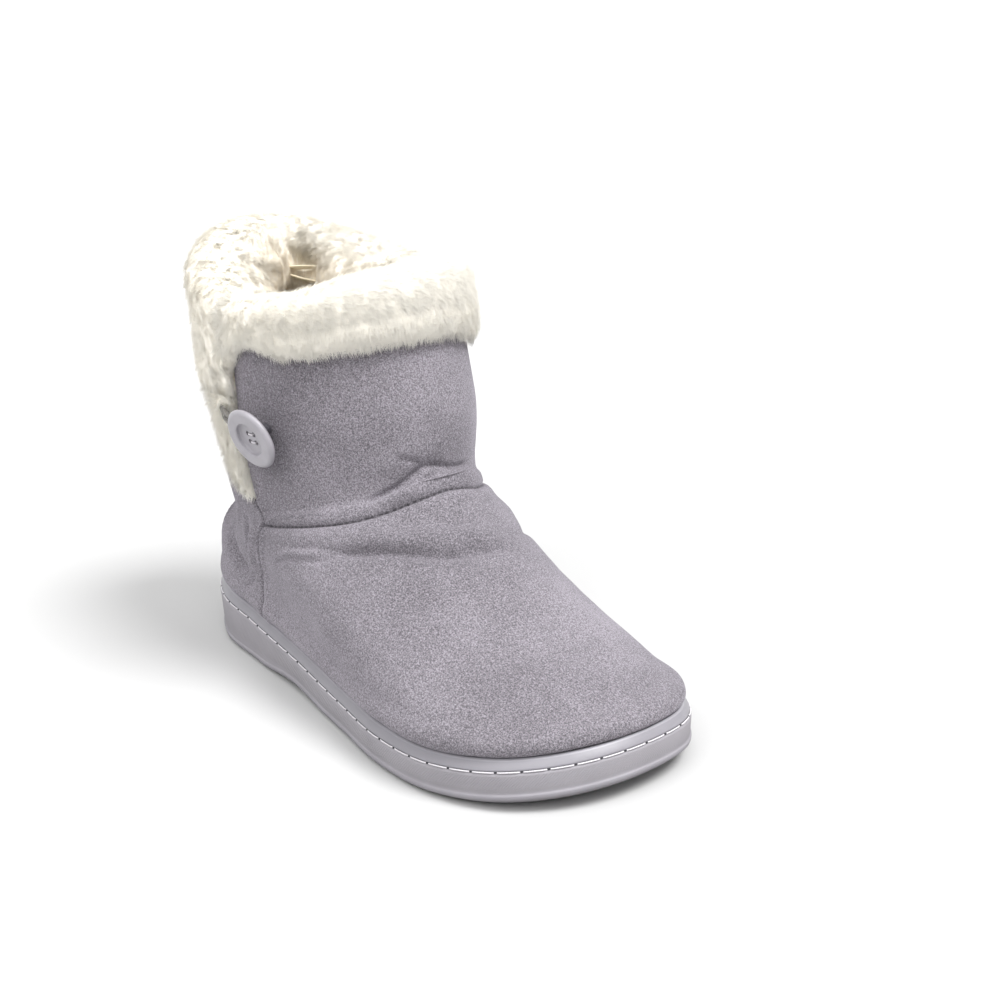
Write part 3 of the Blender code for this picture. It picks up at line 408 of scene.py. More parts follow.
def tread(x):
    """Height of the sole's underside: flat at heel and ball, lifted at arch and toe."""
    arch = np.clip(1 - ((np.asarray(x) / SOLE_LENGTH - ARCH_MIDDLE) / ARCH_REACH)**2, 0.0, None)**2
    return ARCH_LIFT * arch + toe_lift(x)


def inset_ring(ring, inset):
    """A closed ring moved in by a distance."""
    run = np.roll(ring, -1, axis=0) - np.roll(ring, 1, axis=0)
    inward = np.c_[-run[:, 1], run[:, 0]] / np.linalg.norm(run, axis=1)[:, None]
    return ring + inward * inset


def even_foot_ring(count):
    """The sole's outline, evenly divided, so many columns on each side."""
    return closed_ring(*(at_lengths(c, np.linspace(0, arc_lengths(c)[-1], count + 1)) for c in FOOT_SIDES))


def shaped_ring(back, front, lateral, medial, mix, side, gap, shift):
    """A ring between the foot's outline and an oval, stretched to its own sizes."""
    sides = []
    stations = np.linspace(0.0, 1.0, BLEND_SAMPLES)
    for foot, oval, reach in zip(FOOT_SIDES, OVAL_SIDES, (lateral, medial)):
        unit_foot = np.c_[foot[:, 0] / SOLE_LENGTH, foot[:, 1] / (BALL_WIDTH / 2)]
        even = [at_lengths(c, stations * arc_lengths(c)[-1]) for c in (unit_foot, oval)]
        blend = even[0] * (1 - mix) + even[1] * mix
        cut = divide_side(np.c_[(front - back) * blend[:, 0], blend[:, 1] * reach], side, gap)
        sides.append(cut + (back, shift))
    return closed_ring(*sides)


def ring_heights(ring, back, front, rise_back, rise_front):
    """Heights above the floor, risen from the rand's edge by so much at the ring's two ends."""
    share = rising(ring[:, 0], back, front - back)
    return sole_top(ring[:, 0]) + rise_back + (rise_front - rise_back) * share**HEIGHT_POWER


def control_rings():
    """All rings that the upper's outer face passes through, from the cup floor up."""
    flank = SEAM_WIDTH / 2
    side = UPPER_RINGS[0].side
    foot = closed_ring(*(divide_side(c, side, flank) for c in FOOT_SIDES))
    foot = inset_ring(foot, RAND_SLOPE + RAND_LIP + CLEARANCE)
    top = sole_top(foot[:, 0])
    rings = [np.c_[foot, top - FLOOR_DEPTH + CLEARANCE], np.c_[foot, top]]
    for row in UPPER_RINGS:
        width = BALL_WIDTH * (1 - row.round) + SHAFT_WIDTH * row.round
        back, front = row.back * SOLE_LENGTH, row.front * SOLE_LENGTH
        ring = shaped_ring(back, front, row.lateral * width, row.medial * width,
                           row.round, row.side, flank, row.shift * SHAFT_SHIFT)
        rise = row.rise_back * COLLAR_BACK, row.rise_front * INSTEP_HEIGHT
        rings.append(np.c_[ring, ring_heights(ring, back, front, *rise)])
    low_back, low_front = UPPER_RINGS[-1].rise_back * COLLAR_BACK, INSTEP_HEIGHT
    for row in SHAFT_RINGS:
        back = row.back * SHAFT_DEPTH
        front = back + row.depth * SHAFT_DEPTH
        gap = flank + row.vent * (VENT_WIDTH - flank)
        ring = shaped_ring(back, front, row.lateral * SHAFT_WIDTH, row.medial * SHAFT_WIDTH, 1.0,
                           row.side, gap, SHAFT_SHIFT)
        rise_back = low_back + row.height * (COLLAR_BACK - low_back)
        rise_front = low_front + row.height * (COLLAR_FRONT - low_front)
        z = ring_heights(ring, back, front, rise_back, rise_front)
        across = (ring[:, 1] - SHAFT_SHIFT) / (SHAFT_WIDTH / 2)
        depth = np.where(across < 0, COLLAR_DIP, COLLAR_DIP_MEDIAL) * row.height**2
        rings.append(np.c_[ring, z - depth * np.clip(np.abs(across), 0.0, 1.0)**COLLAR_DIP_POWER])
    return rings


def wall_surface():
    """The upper's outer face in the shoe's frame: dense rows by columns."""
    rings = np.array(control_rings()) - (HEEL_SEAT, 0.0, 0.0)
    places = np.arange(len(rings))
    steps = np.linspace(0, 1, DENSE, endpoint=False)
    samples = np.concatenate([*(steps + k for k in places[:-1]), places[-1:]])
    columns = [smooth_through(rings[:, k], places, samples) for k in range(COLUMNS)]
    return np.array(columns).transpose(1, 0, 2)


def face_normals(surface):
    """Outward unit normals of a closed round of columns."""
    around = np.roll(surface, -1, axis=1) - np.roll(surface, 1, axis=1)
    return unit_rows(np.cross(around, np.gradient(surface, axis=0)))


SURFACE = wall_surface()
NORMALS = face_normals(SURFACE)
TIP_ROW = VENT_TIP_RING * DENSE


def on_wall(column, below, offset):
    """A point at a distance below the wall's top edge, along a column that may be a
    fraction, and moved out from the wall's outer face. Above the edge it goes straight on."""
    whole = int(math.floor(column))
    part = column - whole
    points = []
    for step, weight in ((whole, 1 - part), (whole + 1, part)):
        if weight == 0.0:
            continue
        line = SURFACE[::-1, step % COLUMNS]
        out = NORMALS[::-1, step % COLUMNS]
        reach = arc_lengths(line)
        point = np.array([np.interp(below, reach, line[:, k]) for k in range(3)])
        normal = np.array([np.interp(below, reach, out[:, k]) for k in range(3)])
        if below < 0.0:
            point = line[0] + (line[0] - line[2]) / np.linalg.norm(line[0] - line[2]) * -below
        points.append((point + normal * offset) * weight)
    return sum(points)


def walk(column, below, distance):
    """The column at a distance along the wall from another one, measured level."""
    step = 1 if distance > 0 else -1
    left = abs(distance)
    place = float(column)
    here = on_wall(place, below, 0.0)
    while True:
        there = on_wall(place + step, below, 0.0)
        span = np.linalg.norm(there - here)
        if span >= left:
            return place + step * left / span
        left -= span
        place += step
        here = there


def ring_faces(first, second, count):
    """Quads between two closed rings of points, given their first indices."""
    return [(first + k, first + (k + 1) % count, second + (k + 1) % count, second + k) for k in range(count)]


def side_faces(rings, size, first=0):
    """Quads along so many rings of so many points each."""
    faces = []
    for k in range(rings - 1):
        faces += ring_faces(first + k * size, first + (k + 1) * size, size)
    return faces


def loft_faces(rings, size, first=0):
    """The same with a face that closes each end, ahead of the quads."""
    last = first + (rings - 1) * size
    ends = [tuple(range(first, first + size)), tuple(range(last, last + size))]
    return ends + side_faces(rings, size, first)


def place_in_scene(name, data):
    """An object at the origin, in the scene: a mesh, a light or a camera."""
    obj = bpy.data.objects.new(name, data)
    bpy.context.scene.collection.objects.link(obj)
    return obj


def make_mesh(name, points, faces, *finishes, sharp_angle=60):
    """A plain mesh object at the origin, smooth but for its sharp edges, faces outwards."""
    mesh = bpy.data.meshes.new(name)
    mesh.from_pydata(np.asarray(points, float).tolist(), [], faces)
    work = bmesh.new()
    work.from_mesh(mesh)
    bmesh.ops.recalc_face_normals(work, faces=work.faces)
    work.to_mesh(mesh)
    work.free()
    mesh.shade_smooth()
    mesh.set_sharp_from_angle(angle=math.radians(sharp_angle))
    for finish in finishes:
        mesh.materials.append(finish)
    return place_in_scene(name, mesh)


def vertex_values(obj, name, values, kind="FLOAT"):
    """Keeps a number or a direction for each vertex, for materials and node trees to read."""
    layer = obj.data.attributes.new(name, kind, "POINT")
    field = "vector" if kind == "FLOAT_VECTOR" else "value"
    layer.data.foreach_set(field, np.asarray(values, np.float32).ravel())


def settle(obj, slot, *nodes):
    """Puts a finished piece on the shoe's one body, in place of its solids, if it has any."""
    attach(obj, BODY)
    if nodes:
        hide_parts(*nodes)


def set_inputs(tree, node, inputs):
    """Fills a node's inputs; each is given a value or another node's output."""
    for key, value in inputs.items():
        if isinstance(value, bpy.types.NodeSocket):
            tree.links.new(value, node.inputs[key])
        else:
            node.inputs[key].default_value = value


def add(tree, kind, inputs=None, **settings):
    """Adds a node with its settings and inputs."""
    made = tree.nodes.new(kind)
    for key, value in settings.items():
        setattr(made, key, value)
    set_inputs(tree, made, inputs or {})
    return made


def number(tree, operation, *values):
    """What an operation makes of numbers, each a value or an output."""
    return add(tree, "ShaderNodeMath", dict(enumerate(values)), operation=operation).outputs[0]


def direction(tree, operation, *values):
    """What an operation makes of directions or colours."""
    return add(tree, "ShaderNodeVectorMath", dict(enumerate(values)), operation=operation).outputs[0]


def scaled(tree, given, factor):
    """A direction or colour times a number."""
    return add(tree, "ShaderNodeVectorMath", {0: given, "Scale": factor}, operation="SCALE").outputs[0]


def ranged(tree, value, low, high, to_low=0.0, to_high=1.0, **settings):
    """A number moved from one range to another, and held within it."""
    return add(tree, "ShaderNodeMapRange", {
        "Value": value, "From Min": low, "From Max": high, "To Min": to_low, "To Max": to_high},
        **settings).outputs[0]


def clouds(tree, place, scale, detail, roughness=0.5):
    """A soft noise of so many clouds to the metre."""
    return add(tree, "ShaderNodeTexNoise", {
        "Vector": place, "Scale": scale, "Detail": detail, "Roughness": roughness}).outputs["Fac"]


def cells(tree, place, scale):
    """How far each place is from the middle of its cell, with so many cells to the metre."""
    return add(tree, "ShaderNodeTexVoronoi", {"Vector": place, "Scale": scale}).outputs["Distance"]


def bumped(tree, height, strength, distance, **under):
    """The surface's direction as a height bends it, after what another bump made of it."""
    return add(tree, "ShaderNodeBump", {
        "Height": height, "Strength": strength, "Distance": distance, **under}).outputs[0]


def stored(tree, name, output="Fac"):
    """What the mesh keeps for each vertex under a name."""
    return add(tree, "ShaderNodeAttribute", attribute_name=name).outputs[output]


def mapped(tree, name):
    """The places of a UV map."""
    return add(tree, "ShaderNodeUVMap", uv_map=name).outputs["UV"]


def colour(hexa):
    """An sRGB hex colour as linear red, green, blue and alpha."""
    channels = [int(hexa[k:k + 2], 16) / 255 for k in (1, 3, 5)]
    linear = [c / 12.92 if c <= 0.04045 else ((c + 0.055) / 1.055)**2.4 for c in channels]
    return (*linear, 1.0)


def tint(base, factor=1.0):
    """A colour made darker or lighter by a factor of its linear value, with its alpha."""
    return (*(min(channel * factor, 1.0) for channel in base[:3]), 1.0)


def new_material(name):
    """An empty surface finish: its tree, its main shader and the place coordinates."""
    material = bpy.data.materials.new(name)
    material.use_nodes = True
    tree = material.node_tree
    shader = tree.nodes["Principled BSDF"]
    place = add(tree, "ShaderNodeTexCoord").outputs["Object"]
    return material, tree, shader, place


def ramp(tree, share, *stops):
    """A colour ramp through (position, colour) stops, from low to high."""
    made = add(tree, "ShaderNodeValToRGB", {"Fac": share})
    elements = made.color_ramp.elements
    elements.remove(elements[1])
    elements[0].position, elements[0].color = stops[0]
    for position, shade in stops[1:]:
        elements.new(position).color = shade
    return made.outputs["Color"]


SUEDE_TONES = ((0.0, 0.50), (0.35, 0.84), (0.65, 1.18), (1.0, 1.70))     # stroked down to raised
SEAM_PITCH = 2.8 * MM          # of the machine stitches that draw the instep seam in
SEAM_PAINTED_SHADE = (0.30, 0.62)       # painted shade in a drawn-in seam's groove: what it leaves of the colour, at and between its stitches
# painted shade in the side seam's gap, as the share of the colour that it leaves
SIDE_SEAM_PAINTED_SHADE = 0.12


@cache
def suede_finish():
    """Microfibre suede, brushed: a dull short nap in pebbles of about 0.6 mm, lying both ways
    in soft patches, with painted shade along the seams where it is drawn in."""
    material, tree, shader, place = new_material("brushed microfibre suede")
    grain = clouds(tree, place, 1700.0, 2.0, 0.75)
    patches = number(tree, "MULTIPLY", clouds(tree, place, 20.0, 3.0, 0.55), 0.80)
    share = ranged(tree, number(tree, "MULTIPLY_ADD", grain, 3.1, patches), 1.50, 2.40)
    base = bpy.context.scene.bootie_suede.colour
    tone = ramp(tree, share, *((stop, tint(base, factor)) for stop, factor in SUEDE_TONES))
    seams = add(tree, "ShaderNodeSeparateXYZ", {0: stored(tree, "seams", "Vector")}).outputs
    stitches = number(tree, "SINE", number(tree, "MULTIPLY", seams["X"], 2 * math.pi / SEAM_PITCH))
    # painted shade along the instep seam's groove, deeper at each stitch
    dark = ranged(tree, stitches, -1.0, 1.0, *SEAM_PAINTED_SHADE)
    lines = []
    for axis, lowest, width in (("Y", dark, 0.9 * MM), ("Z", SIDE_SEAM_PAINTED_SHADE, 1.4 * MM)):
        away = number(tree, "ABSOLUTE", seams[axis])
        lines.append(ranged(tree, away, 0.15 * MM, width, lowest, 1.0, interpolation_type="SMOOTHSTEP"))
    set_inputs(tree, shader, {
        "Base Color": scaled(tree, tone, number(tree, "MINIMUM", *lines)),
        "Normal": bumped(tree, grain, 0.8, 0.45 * MM), "Roughness": 0.95, "Specular IOR Level": 0.15,
        "Sheen Weight": 0.35, "Sheen Roughness": 0.45, "Sheen Tint": colour("#D9D4DE")})
    return material


@cache
def fleece_finish():
    """Knitted fleece: dull, very soft, with small curled clumps about two millimetres across."""
    material, tree, shader, place = new_material("knitted cream fleece")
    fuzz = clouds(tree, place, 700.0, 3.0)
    curls = bumped(tree, cells(tree, place, 420.0), 0.8, 1.2 * MM)
    set_inputs(tree, shader, {
        "Base Color": ramp(tree, fuzz, (0.3, colour("#F0E2CA")), (0.5, colour("#F7EDDC")),
                           (0.75, colour("#FCF7EC"))),
        "Normal": bumped(tree, fuzz, 0.7, 0.8 * MM, Normal=curls), "Roughness": 1.0,
        "Specular IOR Level": 0.1, "Sheen Weight": 0.5, "Sheen Tint": colour("#FFF8EA")})
    return material


PELT_RELIEF_PAINTED_SHADE = ((0.25, 0.93), (0.5, 1.0), (0.75, 1.04))                    # painted shade in the hollows to painted light on the tufts
PELT_CREST_PAINTED_SHADE = ((0.0, 1.0), (0.4, 0.95), (0.6, 0.95), (1.0, 1.0))         # outside, painted shade along the crest, inside
HAIR_MAP = "OFBake"
SEE_THROUGH = 0.48             # share of the light that passes through a hair


@cache
def pelt_finish():
    """The dense lower part of a plush polyester fur: dull, soft and nearly white, with painted
    shade in the hollows between its tufts and along the rear collar's crest."""
    material, tree, shader, place = new_material("cream plush pile")
    tufts = clouds(tree, place, 420.0, 4.0, 0.7)
    base = bpy.context.scene.bootie_fur.root_colour
    # the tufts' noise paints shade into the hollows and light onto the tufts
    tone = ramp(tree, tufts, *((stop, tint(base, factor)) for stop, factor in PELT_RELIEF_PAINTED_SHADE))
    shade = ramp(tree, stored(tree, "inward"), *((stop, (factor,) * 4) for stop, factor in PELT_CREST_PAINTED_SHADE))
    set_inputs(tree, shader, {
        "Base Color": direction(tree, "MULTIPLY", tone, shade),
        "Normal": bumped(tree, tufts, 0.6, 0.9 * MM), "Roughness": 1.0, "Specular IOR Level": 0.1,
        "Sheen Weight": 0.4, "Sheen Tint": colour("#FFFAF0")})
    return material


@cache
def hair_finish():
    """Polyester fur hair: off-white at the tip, with painted shade towards the root. The map's u runs
    from the outside over the crest, which takes painted shade, to the inside, whose warmer colour is partly
    painted warm shade, and its v from root to tip."""
    material, tree, shader, _ = new_material("cream polyester fur")
    fur = bpy.context.scene.bootie_fur
    axes = add(tree, "ShaderNodeSeparateXYZ", {0: mapped(tree, HAIR_MAP)}).outputs
    around = ramp(tree, axes["X"], (0.0, tint(fur.tip_colour)), (0.4, tint(fur.crest_painted_shade_colour)),
                  (0.6, tint(fur.crest_painted_shade_colour)), (1.0, tint(fur.inner_tint_and_painted_shade)))
    # a little darker towards the root, as painted shade deep in the pile
    tone = scaled(tree, around, ranged(tree, axes["Y"], 0.0, 0.6, 0.95, 1.0))
    set_inputs(tree, shader, {
        "Base Color": tone, "Roughness": 0.85, "Specular IOR Level": 0.2, "Sheen Weight": 0.3,
        "Sheen Tint": colour("#FFFAF0")})
    through = add(tree, "ShaderNodeBsdfTranslucent", {"Color": tone}).outputs[0]
    both = add(tree, "ShaderNodeMixShader", {0: SEE_THROUGH, 1: shader.outputs[0], 2: through})
    set_inputs(tree, tree.nodes["Material Output"], {"Surface": both.outputs[0]})
    return material


SOLE_TONES_AND_PAINTED_LIGHT = (
    # share of the way through the moulding's rings, from the tread up to the rand and into the
    # cup; which colour; factor. It darkens towards the tread; the dips in the stitch groove and into
    # the cup are painted shade, and the 1.35 at the rand's top edge is a painted glint
    (0.0, "wall", 0.62), (0.14, "foot", 1.0), (0.22, "foot", 1.03), (0.29, "wall", 0.97),
    (0.40, "wall", 1.03), (0.47, "wall", 1.0), (0.51, "rand", 0.80), (0.58, "rand", 0.97),
    (0.71, "rand", 1.03), (0.745, "rand", 1.35), (0.80, "rand", 1.0), (1.0, "wall", 0.45),
)
LAST_RING = 12.0               # of the moulding, counted from the tread as 0
RIBBED_RINGS = (4.2, 0.75)     # the middle of the ribbed side wall and its reach to either side
RIB_SLANT = math.radians(28)
WAVE_RATE = 20                 # radians of a wave that the wave texture runs through in one unit


@cache
def rubber_finish():
    """Injection-moulded thermoplastic rubber: satin, with fine slanted ribs cut into the
    mould on the side wall, a smooth band at the foot and a smooth, glossier rand, with painted shade in the
    stitch groove and the cup and a painted glint along the rand's top edge."""
    material, tree, shader, place = new_material("moulded grey rubber")
    level = stored(tree, "level")
    rubber = bpy.context.scene.bootie_sole
    bases = {"wall": rubber.wall_colour, "foot": rubber.band_colour, "rand": rubber.rand_colour}
    # the tones paint shade into the stitch groove and the cup, and a glint along the rand's top edge
    tone = ramp(tree, ranged(tree, level, 0.0, LAST_RING),
                *((stop, tint(bases[part], factor)) for stop, part, factor in SOLE_TONES_AND_PAINTED_LIGHT))
    worn = ranged(tree, clouds(tree, place, 60.0, 3.0), 0.3, 0.8, 0.94, 1.08)
    slant = add(tree, "ShaderNodeMapping", {"Vector": mapped(tree, "wall"), "Rotation": (0, 0, RIB_SLANT)})
    ribs = add(tree, "ShaderNodeTexWave", {
        "Vector": slant.outputs[0], "Distortion": 0.4, "Detail": 1.0,
        "Scale": 2 * math.pi / (WAVE_RATE * rubber.rib_pitch)}, wave_profile="SIN").outputs["Fac"]
    on_side = number(tree, "COMPARE", level, *RIBBED_RINGS)
    cut = bumped(tree, number(tree, "MULTIPLY", ribs, on_side), 0.8, rubber.rib_depth)
    set_inputs(tree, shader, {
        "Base Color": scaled(tree, tone, worn),
        "Normal": bumped(tree, clouds(tree, place, 1500.0, 2.0), 0.15, 0.1 * MM, Normal=cut),
        "Roughness": ranged(tree, level, 5.5, 7.0, 0.75, 0.40), "IOR": 1.5, "Specular IOR Level": 0.45})
    return material


@cache
def thread_finish(shade="light", low="#C2BFC4", high="#DEDBDF"):
    """Waxed polyester sewing thread, two plies laid together, with a soft gloss."""
    material, tree, shader, place = new_material(shade + " grey sewing thread")
    ply = clouds(tree, place, 2600.0, 1.0)
    set_inputs(tree, shader, {
        "Base Color": ramp(tree, ply, (0.3, colour(low)), (0.7, colour(high))),
        "Normal": bumped(tree, ply, 0.5, 0.15 * MM), "Roughness": 0.5})
    return material


@cache
def hole_shade_finish():
    """The inside of a needle hole in rubber, which light hardly reaches."""
    material, tree, shader, _ = new_material("needle hole")
    set_inputs(tree, shader, {"Base Color": colour("#2E2C32"), "Roughness": 0.9})
    return material


@cache
def button_finish():
    """Turned polyester button: opaque, satin from tumbling, with very faint clouding."""
    material, tree, shader, place = new_material("satin polyester button")
    base = bpy.context.scene.bootie_trim.button_colour
    set_inputs(tree, shader, {
        "Base Color": ramp(tree, clouds(tree, place, 160.0, 3.0), (0.3, tint(base, 0.93)),
                           (0.7, tint(base, 1.07))),
        "Roughness": 0.38, "IOR": 1.54, "Coat Weight": 0.15, "Coat Roughness": 0.3})
    return material


@cache
def elastic_finish():
    """Braided elastic: dark grey yarn round a rubber core, in short slanted plaits."""
    material, tree, shader, place = new_material("dark braided elastic")
    plait = cells(tree, place, 1500.0)
    set_inputs(tree, shader, {
        "Base Color": ramp(tree, plait, (0.1, colour("#95928E")), (0.6, colour("#6B6864"))),
        "Normal": bumped(tree, plait, 0.8, 0.3 * MM), "Roughness": 0.8})
    return material


@cache
def ribbon_finish():
    """Woven satin ribbon: its long floats give a soft streaked gloss, part of it painted into the colour as
    streaks of painted sheen.
    """
    material, tree, shader, _ = new_material("cream satin ribbon")
    floats = add(tree, "ShaderNodeMapping", {"Vector": mapped(tree, "ribbon"), "Scale": (180.0, 4500.0, 1.0)})
    streak = clouds(tree, floats.outputs[0], 1.0, 2.0)
    # the streaks in the colour are painted sheen; the bump and roughness give the real gloss
    set_inputs(tree, shader, {
        "Base Color": ramp(tree, streak, (0.3, colour("#E6D8BA")), (0.7, colour("#F8EFD9"))),
        "Normal": bumped(tree, streak, 0.3, 0.1 * MM), "Roughness": 0.35, "Sheen Weight": 0.3})
    return material


def map_surface(obj, name, u, v, period):
    """Writes a UV map from values at the vertices; u wraps round after one period."""
    mesh = obj.data
    loops = np.empty(len(mesh.loops), np.int32)
    mesh.loops.foreach_get("vertex_index", loops)
    starts = np.empty(len(mesh.polygons), np.int32)
    mesh.polygons.foreach_get("loop_start", starts)
    along = np.asarray(u)[loops]
    highest = np.maximum.reduceat(along, starts)
    sizes = np.diff(np.r_[starts, len(loops)])
    wrapped = np.repeat(highest, sizes) - along > period / 2
    places = np.c_[along + period * wrapped, np.asarray(v)[loops]]
    layer = mesh.uv_layers.new(name=name)
    layer.data.foreach_set("uv", places.astype(np.float32).ravel())


def rounded_rings(rings, radius):
    """Rings of a profile with each inner corner cut and pulled to a small round."""
    made, levels = [rings[0]], [0.0]
    for level in range(1, len(rings) - 1):
        corner = rings[level]
        sides = []
        for other in (rings[level - 1], rings[level + 1]):
            run = other - corner
            length = np.linalg.norm(run, axis=1, keepdims=True)
            sides.append(corner + run * np.minimum(radius / length, 0.45))
        made += [sides[0], (sides[0] + sides[1]) * 0.25 + corner * 0.5, sides[1]]
        levels += [level - 0.2, level, level + 0.2]
    return made + [rings[-1]], levels + [len(rings) - 1.0]


def groove_depth(points, lateral, medial):
    """How deep the tread's bowed grooves cut in at each place of one row across the sole."""
    x, y = points[:, 0], points[:, 1]
    reach = np.where(y < 0, lateral - LUG_MARGIN, medial - LUG_MARGIN)
    share = np.abs(y) / np.maximum(reach, MM)
    depth = np.zeros(len(points))
    for seat, count in ((HEEL_SEAT, HEEL_GROOVE_COUNT), (BALL_SEAT, BALL_GROOVE_COUNT)):
        for k in range(count):
            middle = seat + LUG_PITCH * (k - (count - 1) / 2) - LUG_CHEVRON * share**2
            cut = np.clip((LUG_GROOVE / 2 - np.abs(x - middle)) / (0.5 * MM) + 0.5, 0.0, 1.0)
            depth = np.maximum(depth, cut)
    return LUG_DEPTH * depth * np.clip((1.0 - share) * reach / (0.6 * MM), 0.0, 1.0)


def sole_rings():
    """The moulding's rings from the tread up over the rand and down to the cup floor."""
    ring = even_foot_ring(SOLE_COLUMNS)

    def level(inset, height):
        moved = inset_ring(ring, inset)
        return np.c_[moved, height(moved[:, 0])]

    def stitch(x):
        return sole_top(x) - RAND_HEIGHT

    return [
        level(EDGE_CHAMFER + FOXING_STEP, tread),
        level(FOXING_STEP * 0.4, lambda x: tread(x) + EDGE_CHAMFER * 0.8),
        level(0.0, lambda x: tread(x) + FOXING_HEIGHT),
        level(FOXING_STEP, lambda x: tread(x) + FOXING_HEIGHT + FOXING_STEP),
        level(FOXING_STEP * 0.6, lambda x: (tread(x) + stitch(x)) / 2),
        level(0.0, lambda x: stitch(x) - STITCH_GROOVE),
        level(STITCH_GROOVE, stitch),
        level(STITCH_GROOVE * 0.5, lambda x: stitch(x) + STITCH_GROOVE * 0.8),
        level(RAND_SLOPE * 0.75, lambda x: sole_top(x) - RAND_HEIGHT * 0.35),
        level(RAND_SLOPE, lambda x: sole_top(x) - RAND_LIP * 0.35),
        level(RAND_SLOPE + RAND_LIP * 0.5, sole_top),
        level(RAND_SLOPE + RAND_LIP, lambda x: sole_top(x) - RAND_LIP * 0.35),
        level(RAND_SLOPE + RAND_LIP, lambda x: sole_top(x) - FLOOR_DEPTH),
    ]


def across_faces(edge, inner, count):
    """Quads that fill a closed ring, given its point numbers and those of the inner rows."""
    half = len(edge) // 2
    rows = [[edge[k], *inner[k - 1], edge[-k]] for k in range(1, half)]
    faces = []
    for low, high in zip(rows, rows[1:]):
        faces += [(low[j], low[j + 1], high[j + 1], high[j]) for j in range(count)]
    faces += [(edge[0], rows[0][j], rows[0][j + 1]) for j in range(count)]
    faces += [(edge[half], rows[-1][j + 1], rows[-1][j]) for j in range(count)]
    return faces


def filled_solid(rings, across, end, height):
    """Points and faces of a solid from its rings, closed below and on top. The end ring 0 or
    -1 is filled by rows of points, at the heights that a function gives for each row."""
    size = len(rings[0])
    points = np.concatenate(rings)
    shares = np.linspace(0, 1, across + 1)[1:-1, None]
    inner, added = [], []
    for k in range(1, size // 2):
        lateral, medial = rings[end][k], rings[end][-k]
        row = lateral * (1 - shares) + medial * shares
        row[:, 2] = height(row, lateral, medial)
        first = len(points) + len(added)
        inner.append(range(first, first + len(row)))
        added += row.tolist()
    plain = [[]] * (size // 2 - 1)
    faces = side_faces(len(rings), size)
    for ring, first in ((0, 0), (-1, len(points) - size)):
        filling = (inner, across) if ring == end else (plain, 1)
        faces += across_faces(range(first, first + size), *filling)
    return np.r_[points, added] - (HEEL_SEAT, 0.0, 0.0), faces


def build_sole():
    """The cup sole with its rounded steps, lugs and the values that its finish reads."""
    rings, levels = rounded_rings(sole_rings(), 0.45 * MM)

    def lugs(row, lateral, medial):
        return tread(row[:, 0]) + groove_depth(row, -lateral[1], medial[1])

    points, faces = filled_solid(rings, SOLE_ACROSS, 0, lugs)
    sole = make_mesh("outsole_moulding", points, faces, rubber_finish(), sharp_angle=40)
    size = len(rings[0])
    around = arc_lengths(np.r_[rings[2], rings[2][:1]])
    up = arc_lengths(np.array([ring[0] for ring in rings]))
    spare = np.zeros(len(points) - size * len(rings))
    vertex_values(sole, "level", np.r_[np.repeat(levels, size), spare])
    map_surface(sole, "wall", np.r_[np.tile(around[:-1], len(rings)), spare],
                np.r_[np.repeat(up, size), spare], around[-1])
    settle(sole, "sole_rubber", "outsole")


def build_insole():
    """The fleece footbed, domed a little and worn hollow under heel and ball."""
    edge = RAND_SLOPE + RAND_LIP + 2 * CLEARANCE + WALL
    ring = even_foot_ring(INSOLE_COLUMNS)
    soft = INSOLE_THICKNESS * 0.35
    rings = []
    for inset, lift in ((0.0, 0.0), (0.0, INSOLE_THICKNESS - soft),
                        (soft * 0.6, INSOLE_THICKNESS - soft * 0.3), (soft * 2.0, INSOLE_THICKNESS)):
        moved = inset_ring(ring, edge + inset)
        rings.append(np.c_[moved, sole_top(moved[:, 0]) - FLOOR_DEPTH + CLEARANCE + lift])
    rings, _ = rounded_rings(rings, 1.2 * MM)

    def worn(row, *_):
        heights = row[:, 2]
        for seat, depth in ((HEEL_SEAT, 0.9 * MM), (BALL_SEAT, 0.7 * MM)):
            away = ((row[:, 0] - seat) / (26 * MM))**2 + (row[:, 1] / (24 * MM))**2
            heights = heights - depth * np.exp(-away)
        return heights

    points, faces = filled_solid(rings, INSOLE_ACROSS, -1, worn)
    insole = make_mesh("insole_fleece", points, faces, fleece_finish())
    settle(insole, "insole_fleece", "insole")


def laid_on_wall(path):
    """A path moved onto the plain wall, each place along the wall's own normal there."""
    flat, out = SURFACE.reshape(-1, 3), NORMALS.reshape(-1, 3)
    nearest = [np.linalg.norm(flat - spot, axis=1).argmin() for spot in path]
    above = ((path - flat[nearest]) * out[nearest]).sum(1)
    return path - out[nearest] * above[:, None]


def fold_relief(points):
    """How far each place of the wall is raised or sunk by its folds."""
    relief = np.zeros(points.shape[:-1])
    for fold in FOLDS:
        path = laid_on_wall(smooth_path(np.array(fold.path) * MM, FOLD_SAMPLES))
        lengths = arc_lengths(path)
        reach = FOLD_REACH * fold.width * MM
        low, high = path.min(0) - reach, path.max(0) + reach
        near = ((points > low) & (points < high)).all(-1)
        apart = np.linalg.norm(points[near][:, None] - path[None], axis=2)
        nearest = apart.argmin(1)
        share = lengths[nearest] / lengths[-1]
        fade = rising(np.minimum(share, 1 - share), 0.0, fold.fade)
        fade = fade * fade * (3 - 2 * fade)
        relief[near] += fold.height * MM * fade * np.exp(-(apart.min(1) / (fold.width * MM))**2)
    return relief * bpy.context.scene.bootie_suede.fold_depth


